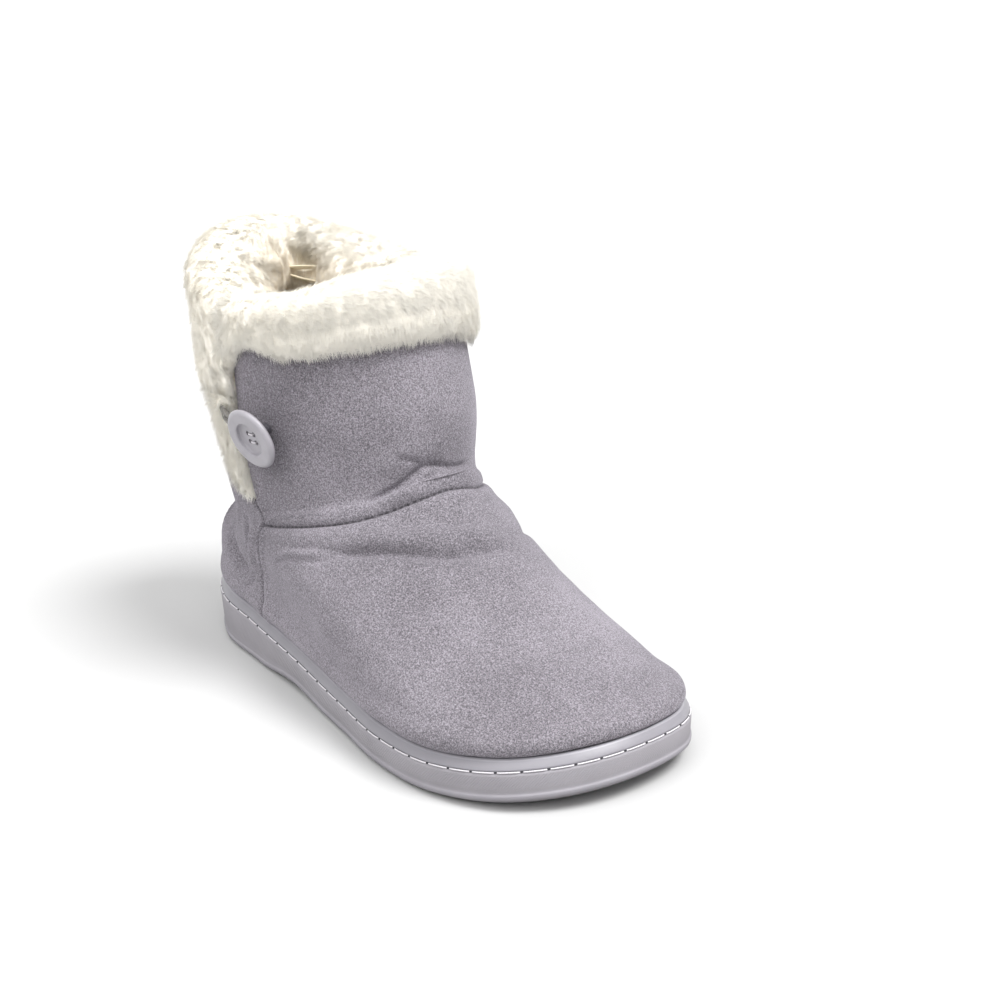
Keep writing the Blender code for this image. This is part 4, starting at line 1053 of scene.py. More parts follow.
def seam_places():
    """Where each place of the wall lies in respect of the seams: how far along the instep seam,
    how far above it, and how far ahead of the nearer side seam."""
    places = np.full((*SURFACE.shape[:2], 3), FAR)
    ring = SURFACE[INSTEP_RING * DENSE, LATERAL_SEAM:MEDIAL_SEAM + 1]
    along = arc_lengths(ring)
    sag = np.interp(along / along[-1], *np.array(SEAM_SAG).T) * MM
    near = slice((INSTEP_RING - 2) * DENSE, (INSTEP_RING + 2) * DENSE)
    for column, way, height in zip(range(LATERAL_SEAM, MEDIAL_SEAM + 1), along, ring[:, 2] - sag):
        line = SURFACE[:, column]
        length = arc_lengths(line)
        places[:, column, 0] = way
        places[:, column, 1] = length - np.interp(height, line[near, 2], length[near])
    below = SURFACE[:TIP_ROW + 1]
    for seam, ahead in ((LATERAL_SEAM, 1), (MEDIAL_SEAM, -1)):
        for step in range(-SIDE_SEAM_COLUMNS, SIDE_SEAM_COLUMNS + 1):
            column = seam + step * ahead
            away = np.linalg.norm(below[:, column] - below[:, seam], axis=1)
            places[:TIP_ROW + 1, column, 2] = away * (1 if step >= 0 else -1)
    return places


INSTEP_BUMPS = (
    # height, place and width in mm: the drawn-in instep seam, and how the panels puff above and
    # below it
    (-1.4, 0.0, 0.8), (1.0, 4.4, 2.8), (0.5, -3.6, 2.6),
)
SIDE_BUMPS = (
    # the same for the side seams, ahead of and behind them
    (-2.6, 0.0, 1.2), (1.3, 2.6, 1.8), (0.5, -3.2, 2.0),
)


def seam_relief(places):
    """How far the seams draw the wall in, and how the panels puff beside them."""
    relief = 0.0
    for axis, bumps in ((1, INSTEP_BUMPS), (2, SIDE_BUMPS)):
        away = places[..., axis] / MM
        relief = relief + sum(height * np.exp(-((away - at) / width)**2) for height, at, width in bumps)
    return relief * MM


def lip_relief(points):
    """How the padded wall swells out over the sole's lip, just above it."""
    rise = points[..., 2] - sole_top(points[..., 0] + HEEL_SEAT)
    swell = rising(rise, *LIP_RISE)
    fall = rising(rise, *LIP_FALL)
    return LIP_SWELL * np.sqrt(1 - (1 - swell)**2) * (1 - fall * fall * (3 - 2 * fall))


def soft_relief(points):
    """The slight unevenness of padded cloth."""
    relief = np.empty(points.shape[:-1])
    slack = bpy.context.scene.bootie_suede.slackness
    for place in np.ndindex(relief.shape):
        spot = points[place]
        relief[place] = slack * (noise_at(spot, 38.0) + 0.3 * noise_at(spot, 120.0, (7.0, 3.0, 1.0)))
    return relief


def edge_relief(rows, depth):
    """How far the wall's faces fall back where a vent's edge and the collar are rounded."""
    relief = np.zeros((len(rows), COLUMNS))
    for place, row in enumerate(rows):
        if row < TIP_ROW:
            continue
        line = SURFACE[row]
        for rim, step in ((LATERAL_SEAM - 1, -1), (LATERAL_SEAM, 1), (MEDIAL_SEAM, -1), (MEDIAL_SEAM + 1, 1)):
            for k in range(len(EDGE_STEPS) + 2):
                column = (rim + step * k) % COLUMNS
                away = min(np.linalg.norm(line[column] - line[rim]) / depth, 1.0)
                relief[place, column] = -depth * (1 - math.sqrt(1 - (1 - away)**2))
    return relief


def upper_faces(rows, inner_rows):
    """The shell's faces, with none where a vent is open, and which of them lie inside."""
    vents = (LATERAL_SEAM - 1, MEDIAL_SEAM)
    outside = {row: place * COLUMNS for place, row in enumerate(rows)}
    inside = {row: (len(rows) + place) * COLUMNS for place, row in enumerate(inner_rows)}
    faces, inner_first = [], 0
    for starts, levels in ((outside, rows), (inside, inner_rows)):
        inner_first = len(faces)
        for low, high in zip(levels, levels[1:]):
            for column in range(COLUMNS):
                if column in vents and low >= TIP_ROW:
                    continue
                right = (column + 1) % COLUMNS
                a, b = starts[low] + column, starts[low] + right
                c, d = starts[high] + right, starts[high] + column
                faces.append((a, b, c, d) if starts is outside else (d, c, b, a))
    lining = slice(inner_first, len(faces))
    open_rows = [row for row in rows if row >= TIP_ROW]
    for column in vents:
        for low, high in zip(open_rows, open_rows[1:]):
            a, b = outside[low] + column, outside[high] + column
            c, d = inside[high] + column, inside[low] + column
            faces += [(a, b, c, d), (b + 1, a + 1, d + 1, c + 1)]
        a, d = outside[TIP_ROW] + column, inside[TIP_ROW] + column
        faces.append((a + 1, a, d, d + 1))
    for column in range(COLUMNS):
        right = (column + 1) % COLUMNS
        a, b = outside[rows[0]], inside[rows[0]]
        faces.append((a + right, a + column, b + column, b + right))
        if column not in vents:
            a, b = outside[rows[-1]], inside[rows[-1]]
            faces.append((a + column, a + right, b + right, b + column))
    return faces, lining


def build_upper():
    """The suede shell: outer face with seams and folds, fleece inner face, open vents."""
    rows = list(range(len(SURFACE)))
    inner_rows = [row for row in rows if row % INNER_STEP == 0 or row >= TIP_ROW]
    places = seam_places()
    outer = SURFACE
    fade = rising(np.array(rows) / DENSE, *RELIEF_RISE)[:, None]
    relief = (fold_relief(outer) + seam_relief(places) + soft_relief(outer)) * fade + lip_relief(outer)
    half = WALL / 2
    outer = outer + NORMALS * (relief + edge_relief(rows, half))[:, :, None]
    sunk = np.minimum(relief[inner_rows], 0.0)
    thick = WALL - sunk + edge_relief(inner_rows, half)
    inner = SURFACE[inner_rows] - NORMALS[inner_rows] * thick[:, :, None]
    points = np.concatenate([outer.reshape(-1, 3), inner.reshape(-1, 3)])
    faces, lining = upper_faces(rows, inner_rows)
    upper = make_mesh("upper_suede", points, faces, suede_finish(), fleece_finish(), sharp_angle=75)
    spare = np.full((len(points) - outer.size // 3, 3), FAR)
    vertex_values(upper, "seams", np.r_[places.reshape(-1, 3), spare], "FLOAT_VECTOR")
    for face in upper.data.polygons[lining]:
        face.material_index = 1
    settle(upper, "suede", "upper")


Cuff = namedtuple("Cuff", "first last steps hem drop hem_pile crease plump tufts")
FRONT_CUFF = Cuff(LATERAL_SEAM, MEDIAL_SEAM, 180, FRONT_HEM, FRONT_CUFF_DROP, 0.70, 0.9 * MM, 3.2,
                  (4000, 1900))
REAR_CUFF = Cuff(MEDIAL_SEAM - COLUMNS, LATERAL_SEAM, 190, REAR_HEM, REAR_CUFF_DROP, 0.95, 0.0, 3.7,
                 (3700, 2800))
EDGING_TUFTS = 900
EDGING_ROWS = 44
OVERLAP = 2.0 * MM             # how far the rear cuff's ends lie over what is ahead of the vents
OVERLAP_REACH = 0.03           # share of the cuff's way over which they start to do so
END_REACH = 0.035              # share over which the hem is pressed flat at a cuff's ends
END_PRESS = 0.65
END_TURN = 0.05                # share over which the hairs turn towards a cuff's ends
PELT_DEPTH = 0.72              # share of the pile that is solid under the hairs
PELT_SAMPLES = 52
CROWN_SAMPLES = 22
RIBBON_ROOM = (5, 10, 0.70)    # columns aside and across, share of the lining that gives way to it
STAND, LIE = 0.36, 0.85        # how far hairs stand off the pelt and lie along it
END_LIE = 1.1                  # the same where they turn towards a cuff's ends
FLOW_REACH = 0.22              # share of a section over which the parting at the crest is spread
CREASE_PLACE, CREASE_WIDTH = 0.46, 0.10          # of the crease round a cuff, shares of its drop
CREASE_RUN = (0.08, 0.62)      # where on the way round that crease starts, and how long it is
# Where on a section something begins, in samples past the crest, and over how many it comes in
LINING_FOLDS = (0, 8)
INNER_HAIRS = (1, 3)
# where the painted shade along the rear crest comes in, and where it goes again
CREST_PAINTED_SHADE = (-9, 9)
CREST_PAINTED_SHADE_END = (4, 8)
# the inside's warmer colour, partly painted warm shade, comes in here
INNER_TONE = (4, 9)


def hem_drop(cuff, share):
    """How far a cuff is turned down, at a share of its way round."""
    stations = np.array([row.along for row in cuff.hem])
    shares = np.array([[row.drop] for row in cuff.hem])
    return cuff.drop * smooth_through(shares, stations, [share])[0, 0]


def cuff_section(cuff, drop, plump):
    """A cuff's cross-section as distances below the edge and out from the wall: the seat
    against the wall, then the pelt from the hem up, over the crest and down inside."""
    inside = -WALL - CLEARANCE
    pile, lining, crest = PILE * PELT_DEPTH, PILE_INSIDE * PELT_DEPTH, PILE_CREST * PELT_DEPTH
    seat = [(CUFF_LINING, inside), (CUFF_LINING * 0.5, inside), (-CLEARANCE, inside), (-CLEARANCE, CLEARANCE),
            (drop * 0.5, CLEARANCE), (drop, CLEARANCE)]
    pelt = np.array([
        (drop + CLEARANCE, pile * 0.4),
        (drop * 0.92, pile * cuff.hem_pile),
        (drop * 0.62, pile),
        (drop * 0.28, pile),
        (-crest * 0.50, pile * 0.75),
        (-crest, -WALL * 0.4),
        (-crest * 0.85, -WALL - lining * 0.5 * plump),
        (-crest * 0.45, -WALL - lining * 1.0 * plump),
        (CUFF_LINING * 0.12, -WALL - lining * 1.3 * plump),
        (CUFF_LINING * 0.50, -WALL - lining * 1.5 * plump),
        (CUFF_LINING * 0.85, -WALL - lining * 1.35 * plump),
        (CUFF_LINING, -WALL - lining * 0.4),
    ])
    return seat, smooth_path(pelt, PELT_SAMPLES)


def pelt_relief(spot):
    """Soft lumps of the pile, from a few millimetres to a centimetre and more across."""
    relief = 0.7 * noise_at(spot, 60.0) + 0.3 * noise_at(spot, 150.0, (3.0, 5.0, 2.0))
    return (relief + 0.2 * noise_at(spot, 340.0, (1.0, 9.0, 4.0))) * MM


def inside_folds(spot):
    """How much the lining bulges between the sharp folds that part it into soft rolls."""
    return (1.2 - 5.0 * np.abs(noise_at(spot, 85.0, (4.0, 2.0, 8.0)))) * MM


def lay_section(column, pelt, beyond):
    """A section of a pelt on the wall, lying over to one side by a distance where it is proud."""
    if not beyond:
        return np.array([on_wall(column, below, offset) for below, offset in pelt])
    placed = []
    for below, offset in pelt:
        over = beyond * rising(offset, 0.0, 2 * MM)
        placed.append(on_wall(walk(column, below, over), below, offset))
    return np.array(placed)


def build_cuff(name, cuff, nodes):
    """A turned-down cuff: its pelt, then the hairs that grow from it. Each vertex keeps whether
    outer or inner hairs grow there and how far inwards it lies: 0 outside, 0.5 along the rear
    crest, where it marks painted shade, 1 inside."""
    at_rear = cuff is REAR_CUFF
    aside, room, giving = RIBBON_ROOM
    ribbon = walk(0, RIBBON_BELOW, -RIBBON_ASIDE) - aside
    columns = np.linspace(walk(cuff.first, 0.0, CLEARANCE), walk(cuff.last, 0.0, -CLEARANCE), cuff.steps)
    points, comb = [], []
    values = {"outer": [], "inner": [], "inward": []}
    for column in columns:
        share = (column - cuff.first) / (cuff.last - cuff.first)
        to_end = min(share, 1 - share)
        drop = hem_drop(cuff, share)
        free = math.exp(-((column - ribbon) / room)**2) * at_rear
        seat, pelt = cuff_section(cuff, drop, cuff.plump * (1 - giving * free))
        below_front = rising(pelt[:, 0], FRONT_CUFF_DROP * 0.85, 5 * MM)
        pelt[:, 1] *= 1 - END_PRESS * below_front * nearness(to_end, END_REACH)**2
        beyond = OVERLAP * nearness(to_end, OVERLAP_REACH) * at_rear
        placed = lay_section(column, pelt, beyond if share > 0.5 else -beyond)
        run = unit_rows(np.gradient(placed, axis=0))
        level = unit(on_wall(column + 0.5, 0.0, 0.0) - on_wall(column - 0.5, 0.0, 0.0))
        away = unit_rows(np.cross(run, level))
        away *= np.sign(np.dot(away[0], on_wall(column, 0.0, 1.0) - on_wall(column, 0.0, 0.0)))
        past_crest = np.arange(len(placed)) - placed[:, 2].argmax()
        lumps = np.array([pelt_relief(spot) for spot in placed])
        lumps += np.array([inside_folds(spot) for spot in placed]) * rising(past_crest, *LINING_FOLDS)
        middle = math.sin(math.pi * rising(share, *CREASE_RUN))
        crease = np.exp(-((pelt[:, 0] / drop - CREASE_PLACE) / CREASE_WIDTH)**2) * (past_crest < 0)
        lumps -= cuff.crease * middle * crease
        points += [on_wall(column, below, offset) for below, offset in seat]
        points += list(placed + away * lumps[:, None])
        flow = np.clip(past_crest / (len(placed) * FLOW_REACH), -1.0, 1.0)[:, None]
        ends = nearness(share, END_TURN) - nearness(1 - share, END_TURN)
        along = LIE * np.sqrt(1 - flow**2) * (1 - abs(ends)) - ends * END_LIE
        comb += [(0, 0, 1)] * len(seat) + list(away * STAND + run * flow * LIE + level * along)
        inner = rising(past_crest, *INNER_HAIRS)
        # 0.5 along the rear crest, which the finishes darken as painted shade against the light from above
        crest = rising(past_crest, *CREST_PAINTED_SHADE) * (1 - rising(past_crest, *CREST_PAINTED_SHADE_END))
        inward = at_rear * 0.5 * crest + rising(past_crest, *INNER_TONE)
        for kept, given in zip(values.values(), (1 - inner, inner, inward)):
            kept += [0.0] * len(seat) + list(given)
    faces = loft_faces(cuff.steps, len(points) // cuff.steps)
    finish_fur(name, points, faces, comb, values, dict(zip(("outer", "inner"), cuff.tufts)), nodes)


def finish_fur(name, points, faces, comb, values, tufts, nodes):
    """Makes a pelt and its hairs, and puts both in place of the plain solid."""
    pelt = make_mesh(name + "_pelt", points, faces, pelt_finish(), sharp_angle=80)
    vertex_values(pelt, "comb", comb, "FLOAT_VECTOR")
    for key, given in values.items():
        vertex_values(pelt, key, given)
    for region, most in tufts.items():
        settle(grow_hairs(f"{name}_{region}_hairs", pelt, region, most), "cream_fur")
    settle(pelt, "cream_fur", *nodes)


def between(rear, front, share, below, offset):
    """A point in a vent, at a share of the way from its rear edge to its front one."""
    return on_wall(rear, below, offset) * (1 - share) + on_wall(front, below, offset) * share


def build_edging(name, seam, back_step, top, node):
    """The fur that fills a vent and lies over the rear panel's edge."""
    tip = arc_lengths(SURFACE[TIP_ROW:, seam])[-1] - EDGING_END
    rear = seam + back_step
    points, cover, comb = [], [], []
    for row in range(EDGING_ROWS):
        share = row / (EDGING_ROWS - 1)
        below = top + (tip - top) * share
        full = (1.0 - share)**0.55
        puff = PILE * (0.30 + 0.55 * full) * 0.78
        width = EDGING_WIDTH * (0.35 + 0.65 * full)
        at_rear = on_wall(rear, below, 0.0)
        edge = CLEARANCE * 1.2 / np.linalg.norm(on_wall(seam, below, 0.0) - at_rear)

        def on_panel(away, offset):
            return on_wall(walk(rear, below, back_step * width * away), below, offset)

        outline = [between(rear, seam, share_across, below, offset) for share_across, offset in (
            (1 - edge, 0.0), (1 - edge, puff * 0.4), (0.5, puff * 0.85))]
        outline += [on_panel(away, offset) for away, offset in (
            (0.2, puff), (0.45, puff), (0.7, puff * 0.9), (0.9, puff * 0.6), (0.97, puff * 0.25))]
        crown = smooth_path(outline, CROWN_SAMPLES)
        base = [on_panel(away, CLEARANCE * 1.5) for away in (0.85, 0.4)]
        base += [between(rear, seam, edge, below, offset) for offset in (CLEARANCE * 1.5, -WALL * 0.9)]
        base += [between(rear, seam, 1 - edge, below, -WALL * 0.9)]
        out = on_wall(rear, below, 1.0) - at_rear
        down = on_wall(rear, below + MM, 0.0) - at_rear
        sideways = np.linspace(1.0, -1.0, len(crown))[:, None] * (crown[0] - crown[-1])
        sideways /= np.linalg.norm(crown[0] - crown[-1])
        falling = 0.7 - 1.5 * max(1 - share * 7, 0.0)
        points += list(crown) + base
        cover += [1.0] * len(crown) + [0.0] * len(base)
        comb += list(out * STAND + sideways * 0.7 + down / MM * falling) + [(0, 0, 1)] * len(base)
    faces = loft_faces(EDGING_ROWS, len(points) // EDGING_ROWS)
    values = {"outer": cover, "inward": [0.0] * len(points)}
    finish_fur(name, points, faces, comb, values, {"outer": EDGING_TUFTS}, [node])


BUTTON_BELOW = arc_lengths(SURFACE[TIP_ROW:, LATERAL_SEAM])[-1] - BUTTON_HEIGHT
BUTTON_COLUMN = walk(LATERAL_SEAM, BUTTON_BELOW, BUTTON_AHEAD)
ELASTIC_BELOW = 0.72 * REAR_CUFF_DROP + LOCK_TIP + 6 * ELASTIC_RADIUS
MEDIAL_EDGING_TOP = REAR_HEM[0].drop * REAR_CUFF_DROP + CLEARANCE
LATERAL_EDGING_TOP = REAR_HEM[-1].drop * REAR_CUFF_DROP + 2 * CLEARANCE

BLADES = 24                    # hairs in a tuft
TAPER = 0.8                    # share of a hair's width that is gone at its tip
TUFT_KINDS = 8
TUFT_SEED = 40
TUFT_LEAN = 0.10               # how far a tuft and each of its hairs lean at random, to its height
TUFT_THIN = 0.2                # a tuft's thickness, to its width
TUFT_DRAWN = 0.3               # share of its width that is gone at its tip
HAIR_START = (-1.0, 0.6)       # range in which a hair starts along the tuft, in the tuft's radii
HAIR_FACING = 0.15             # radians, how far a hair's flat side is turned at random
HAIR_TALL = (0.7, 1.1)         # range of a hair's height, to the tuft's
TUFT_TALL = (0.8, 1.2)         # range of a tuft's size on the pelt
LOCKS = 230.0                  # of ruffled locks to the metre
STRAY = (0.15, 0.15, 0.15)     # how far a tuft leans off the comb at random
SPIN = (0.0, 0.0, 0.15)        # radians that it is turned about itself
LIT_LEAN = (0.2, 0.2, 0.2)     # how much of a tuft's lean the light on it follows
CM2 = 1e-4                     # square metres


def make_tuft(kind, radius, height, width):
    """A tuft of flat tapering hairs, drawn together a little at the tip. Their flat sides face
    along the tuft's own X axis, which is turned outwards from the pelt."""
    rng = np.random.default_rng(TUFT_SEED + kind)
    points, faces, shares = [], [], []
    bend = rng.normal(0.0, TUFT_LEAN, 2) * height
    for _ in range(BLADES):
        turn, spread = rng.uniform(0, 2 * math.pi), radius * math.sqrt(rng.uniform(0, 1))
        root = np.array((math.cos(turn) * TUFT_THIN, math.sin(turn))) * spread
        start = rng.uniform(*HAIR_START) * radius
        facing = rng.normal(0.0, HAIR_FACING)
        side = np.array((math.sin(facing), math.cos(facing), 0.0)) * width / 2
        tall = height * rng.uniform(*HAIR_TALL)
        lean = rng.normal(0.0, TUFT_LEAN, 2) * height
        first = len(points)
        for joint in (0.0, 1.0):
            drawn = root * (1 - TUFT_DRAWN * joint) + (bend + lean) * joint
            middle = np.array((*drawn, tall * joint + start))
            points += [middle - side * (1 - TAPER * joint), middle + side * (1 - TAPER * joint)]
            shares += [joint, joint]
        faces.append((first, first + 1, first + 3, first + 2))
    mesh = bpy.data.meshes.new(f"tuft_{kind}")
    mesh.from_pydata([tuple(p) for p in points], [], faces)
    mesh.shade_smooth()
    tuft = bpy.data.objects.new(f"tuft_{kind}", mesh)
    vertex_values(tuft, "up_hair", shares)
    return tuft


def new_tree(name, source, result, fields):
    """An empty node tree with named inputs: the tree and its input node's outputs."""
    tree = bpy.data.node_groups.new(name, "GeometryNodeTree")
    tree.interface.new_socket(source, in_out="INPUT", socket_type="NodeSocketGeometry")
    for label, kind, default in fields:
        socket = tree.interface.new_socket(label, in_out="INPUT", socket_type="NodeSocket" + kind)
        socket.default_value = default
    tree.interface.new_socket(result, in_out="OUTPUT", socket_type="NodeSocketGeometry")
    return tree, add(tree, "NodeGroupInput").outputs


def close_tree(tree, result, geometry, material):
    """Gives what a tree has made its material, and puts it out."""
    dressed = add(tree, "GeometryNodeSetMaterial", {"Geometry": geometry, "Material": material})
    add(tree, "NodeGroupOutput", {result: dressed.outputs[0]})
    return tree


def named(tree, name, kind="FLOAT"):
    """What the geometry keeps under a name."""
    return add(tree, "GeometryNodeInputNamedAttribute", {"Name": name}, data_type=kind).outputs["Attribute"]


def aligned(tree, axis, inputs, **settings):
    """A rotation that turns an axis towards a direction."""
    return add(tree, "FunctionNodeAlignRotationToVector", inputs, axis=axis, **settings).outputs[0]


def random_way(tree, reach, seed):
    """A direction of its own for each point, as far as a reach to both sides."""
    return add(tree, "FunctionNodeRandomValue", {
        "Min": tuple(-share for share in reach), "Max": reach, "Seed": seed},
        data_type="FLOAT_VECTOR").outputs[0]


def fur_tree(tufts, material):
    """Scatters tufts over one region of a pelt, combed and ruffled, and writes the map that
    their finish reads and the direction that each is lit from."""
    tree, given = new_tree("Fur", "Pelt", "Fur", (
        ("Density", "Float", 0.0), ("Ruffle", "Float", 1.0), ("Region", "String", "outer")))
    cover = number(tree, "MULTIPLY", named(tree, given["Region"]), given["Density"])
    points = add(tree, "GeometryNodeDistributePointsOnFaces", {
        "Mesh": given["Pelt"], "Density": cover, "Seed": 7}, distribute_method="RANDOM").outputs
    ruffle = add(tree, "ShaderNodeTexNoise", {"Scale": LOCKS, "Detail": 2.0}, noise_dimensions="3D")
    centred = direction(tree, "SUBTRACT", ruffle.outputs["Color"], (0.5, 0.5, 0.5))
    pushed = scaled(tree, centred, given["Ruffle"])
    swayed = direction(tree, "ADD", pushed, random_way(tree, STRAY, 3))
    lean = direction(tree, "ADD", named(tree, "comb", "FLOAT_VECTOR"), swayed)
    lit = direction(tree, "MULTIPLY_ADD", lean, LIT_LEAN, points["Normal"])
    kept = add(tree, "GeometryNodeStoreNamedAttribute", {
        "Geometry": points["Points"], "Name": "lit", "Value": lit}, data_type="FLOAT_VECTOR", domain="POINT")
    stand = aligned(tree, "Z", {"Vector": lean})
    facing = aligned(tree, "X", {"Rotation": stand, "Vector": points["Normal"]}, pivot_axis="Z")
    spin = add(tree, "FunctionNodeEulerToRotation", {"Euler": random_way(tree, SPIN, 5)})
    turn = add(tree, "FunctionNodeRotateRotation", {"Rotation": facing, "Rotate By": spin.outputs[0]},
               rotation_space="LOCAL")
    low, high = TUFT_TALL
    tall = add(tree, "FunctionNodeRandomValue", {2: low, 3: high, "Seed": 11}, data_type="FLOAT")
    kinds = add(tree, "GeometryNodeCollectionInfo", {
        "Collection": tufts, "Separate Children": True, "Reset Children": True})
    kind = add(tree, "FunctionNodeRandomValue", {4: 0, 5: TUFT_KINDS - 1, "Seed": 13}, data_type="INT")
    grown = add(tree, "GeometryNodeInstanceOnPoints", {
        "Points": kept.outputs[0], "Instance": kinds.outputs[0], "Pick Instance": True,
        "Instance Index": kind.outputs[2], "Rotation": turn.outputs[0], "Scale": tall.outputs[1]})
    real = add(tree, "GeometryNodeRealizeInstances", {"Geometry": grown.outputs[0]})
    place = add(tree, "ShaderNodeCombineXYZ", {"X": named(tree, "inward"), "Y": named(tree, "up_hair")})
    charted = add(tree, "GeometryNodeStoreNamedAttribute", {
        "Geometry": real.outputs[0], "Name": HAIR_MAP, "Value": place.outputs[0]},
        data_type="FLOAT2", domain="CORNER")
    return close_tree(tree, "Fur", charted.outputs[0], material)


def evaluated_mesh(obj):
    """A mesh of its own, as an object's modifiers make it."""
    depsgraph = bpy.context.evaluated_depsgraph_get()
    return bpy.data.meshes.new_from_object(obj.evaluated_get(depsgraph))


def run_tree(source, tree, values, name):
    """Runs a node tree on an object and returns what it makes as a plain mesh object."""
    grow = source.modifiers.new(name, "NODES")
    grow.node_group = tree
    for item in tree.interface.items_tree:
        if item.in_out == "INPUT" and item.name in values:
            grow[item.identifier] = values[item.name]
    mesh = evaluated_mesh(source)
    source.modifiers.remove(grow)
    mesh.name = name
    return place_in_scene(name, mesh)


def area_of(obj, attribute):
    """The area of a mesh where a vertex value is set, for a chosen number of tufts."""
    values = np.empty(len(obj.data.vertices))
    obj.data.attributes[attribute].data.foreach_get("value", values)
    return sum(face.area * np.mean([values[v] for v in face.vertices]) for face in obj.data.polygons)


def grow_hairs(name, pelt, region, most):
    """The hairs on one region of a pelt, as many tufts as the fur's settings ask for."""
    fur = bpy.context.scene.bootie_fur
    tufts = bpy.data.collections.new("tufts")
    for kind in range(TUFT_KINDS):
        tufts.objects.link(make_tuft(kind, fur.tuft_radius, fur.hair_length, fur.hair_width))
    area = area_of(pelt, region)
    count = min(fur.tufts_per_cm2 * area / CM2, most)
    settings = {"Density": count / area, "Ruffle": fur.ruffle, "Region": region}
    hairs = run_tree(pelt, fur_tree(tufts, hair_finish()), settings, name)
    for tuft in list(tufts.objects):
        bpy.data.objects.remove(tuft)
    bpy.data.collections.remove(tufts)
    soften(hairs.data)
    return hairs


def soften(mesh):
    """Lights every hair as the pile that it stands in, so that fine hairs look soft."""
    lit = np.empty(len(mesh.vertices) * 3, np.float32)
    mesh.attributes["lit"].data.foreach_get("vector", lit)
    mesh.attributes.remove(mesh.attributes["lit"])
    mesh.normals_split_custom_set_from_vertices(unit_rows(lit.reshape(-1, 3)).tolist())


def stitch_tree(laid, material):
    """Lays one shape after another along a closed path, turned along it and outwards."""
    tree, given = new_tree("Stitches", "Path", "Seam", (("Count", "Int", 80), ("Phase", "Int", 0)))
    curve = add(tree, "GeometryNodeMeshToCurve", {"Mesh": given["Path"]})
    places = add(tree, "GeometryNodeResampleCurve", {
        "Curve": curve.outputs[0], "Count": number(tree, "MULTIPLY", given["Count"], 2.0)}, mode="COUNT")
    turn = number(tree, "MODULO", add(tree, "GeometryNodeInputIndex").outputs[0], 2.0)
    chosen = number(tree, "COMPARE", turn, given["Phase"], 0.1)
    along = aligned(tree, "X", {"Vector": add(tree, "GeometryNodeInputTangent").outputs[0]})
    seated = aligned(tree, "Z", {"Rotation": along, "Vector": named(tree, "out", "FLOAT_VECTOR")},
                     pivot_axis="X")
    shape = add(tree, "GeometryNodeObjectInfo", {"Object": laid, "As Instance": True})
    set_down = add(tree, "GeometryNodeInstanceOnPoints", {
        "Points": places.outputs[0], "Selection": chosen, "Instance": shape.outputs["Geometry"],
        "Rotation": seated})
    real = add(tree, "GeometryNodeRealizeInstances", {"Geometry": set_down.outputs[0]})
    return close_tree(tree, "Seam", real.outputs[0], material)


def tube_points(path, radius_across, radius_up, upright, sides):
    """Rings of an oval section along a path, turned to an upright direction."""
    points = []
    for here, ahead, behind in zip(path, [*path[1:], path[-1]], [path[0], *path[:-1]]):
        run = unit(ahead - behind)
        up = unit(upright - run * np.dot(upright, run))
        across = np.cross(run, up)
        for k in range(sides):
            angle = 2 * math.pi * (k + 0.5) / sides
            points.append(here + across * math.cos(angle) * radius_across + up * math.sin(angle) * radius_up)
    return points


def tube_mesh(name, path, radius_across, radius_up, upright, sides, *finishes):
    """A closed solid of oval section along a path."""
    points = tube_points(path, radius_across, radius_up, upright, sides)
    return make_mesh(name, points, loft_faces(len(path), sides), *finishes)


def seam_path():
    """The sewing line round the sole as a closed run of edges, with its outward directions."""
    ring = even_foot_ring(SOLE_COLUMNS)
    places = inset_ring(ring, STITCH_GROOVE * 0.55)
    outward = ring - inset_ring(ring, 1.0)
    height = sole_top(places[:, 0]) - RAND_HEIGHT + 0.1 * MM
    points = np.c_[places[:, 0] - HEEL_SEAT, places[:, 1], height]
    count = len(points)
    mesh = bpy.data.meshes.new("seam_path")
    mesh.from_pydata(points.tolist(), [(k, (k + 1) % count) for k in range(count)], [])
    path = place_in_scene("seam_path", mesh)
    vertex_values(path, "out", np.c_[outward, np.full(count, 0.35)], "FLOAT_VECTOR")
    return path, arc_lengths(np.r_[points, points[:1]])[-1]


def build_stitching():
    """The thread sewn round the sole, and dark plugs of painted shade in the needle holes between its
    stitches.
    """
    seam = bpy.context.scene.bootie_seam
    path, total = seam_path()
    count = round(total / seam.pitch)
    reach = total / count / 2 - seam.gap / 2
    run = np.linspace(-1, 1, 11)
    bow = np.c_[run * reach, run * 0, seam.thread_radius * (0.8 - 2.1 * run**6)]
    stitch = tube_mesh("stitch", bow, seam.thread_radius, seam.thread_radius, UPWARDS, 7)
    # a dark plug of painted shade stands in each needle hole
    hole = tube_mesh("needle_hole", np.array([(0, 0, -0.6), (0, 0, -0.05), (0, 0, 0.1)]) * MM,
                     0.34 * MM, 0.42 * MM, np.array((1.0, 0.0, 0.0)), 10)
    laid = ((stitch, thread_finish(), "sole_stitches"), (hole, hole_shade_finish(), "needle_holes"))
    made = [run_tree(path, stitch_tree(shape, finish), {"Count": count, "Phase": phase}, name)
            for phase, (shape, finish, name) in enumerate(laid)]
    for scaffold in (path, stitch, hole):
        bpy.data.objects.remove(scaffold)
    for piece in made:
        settle(piece, "sole_rubber")


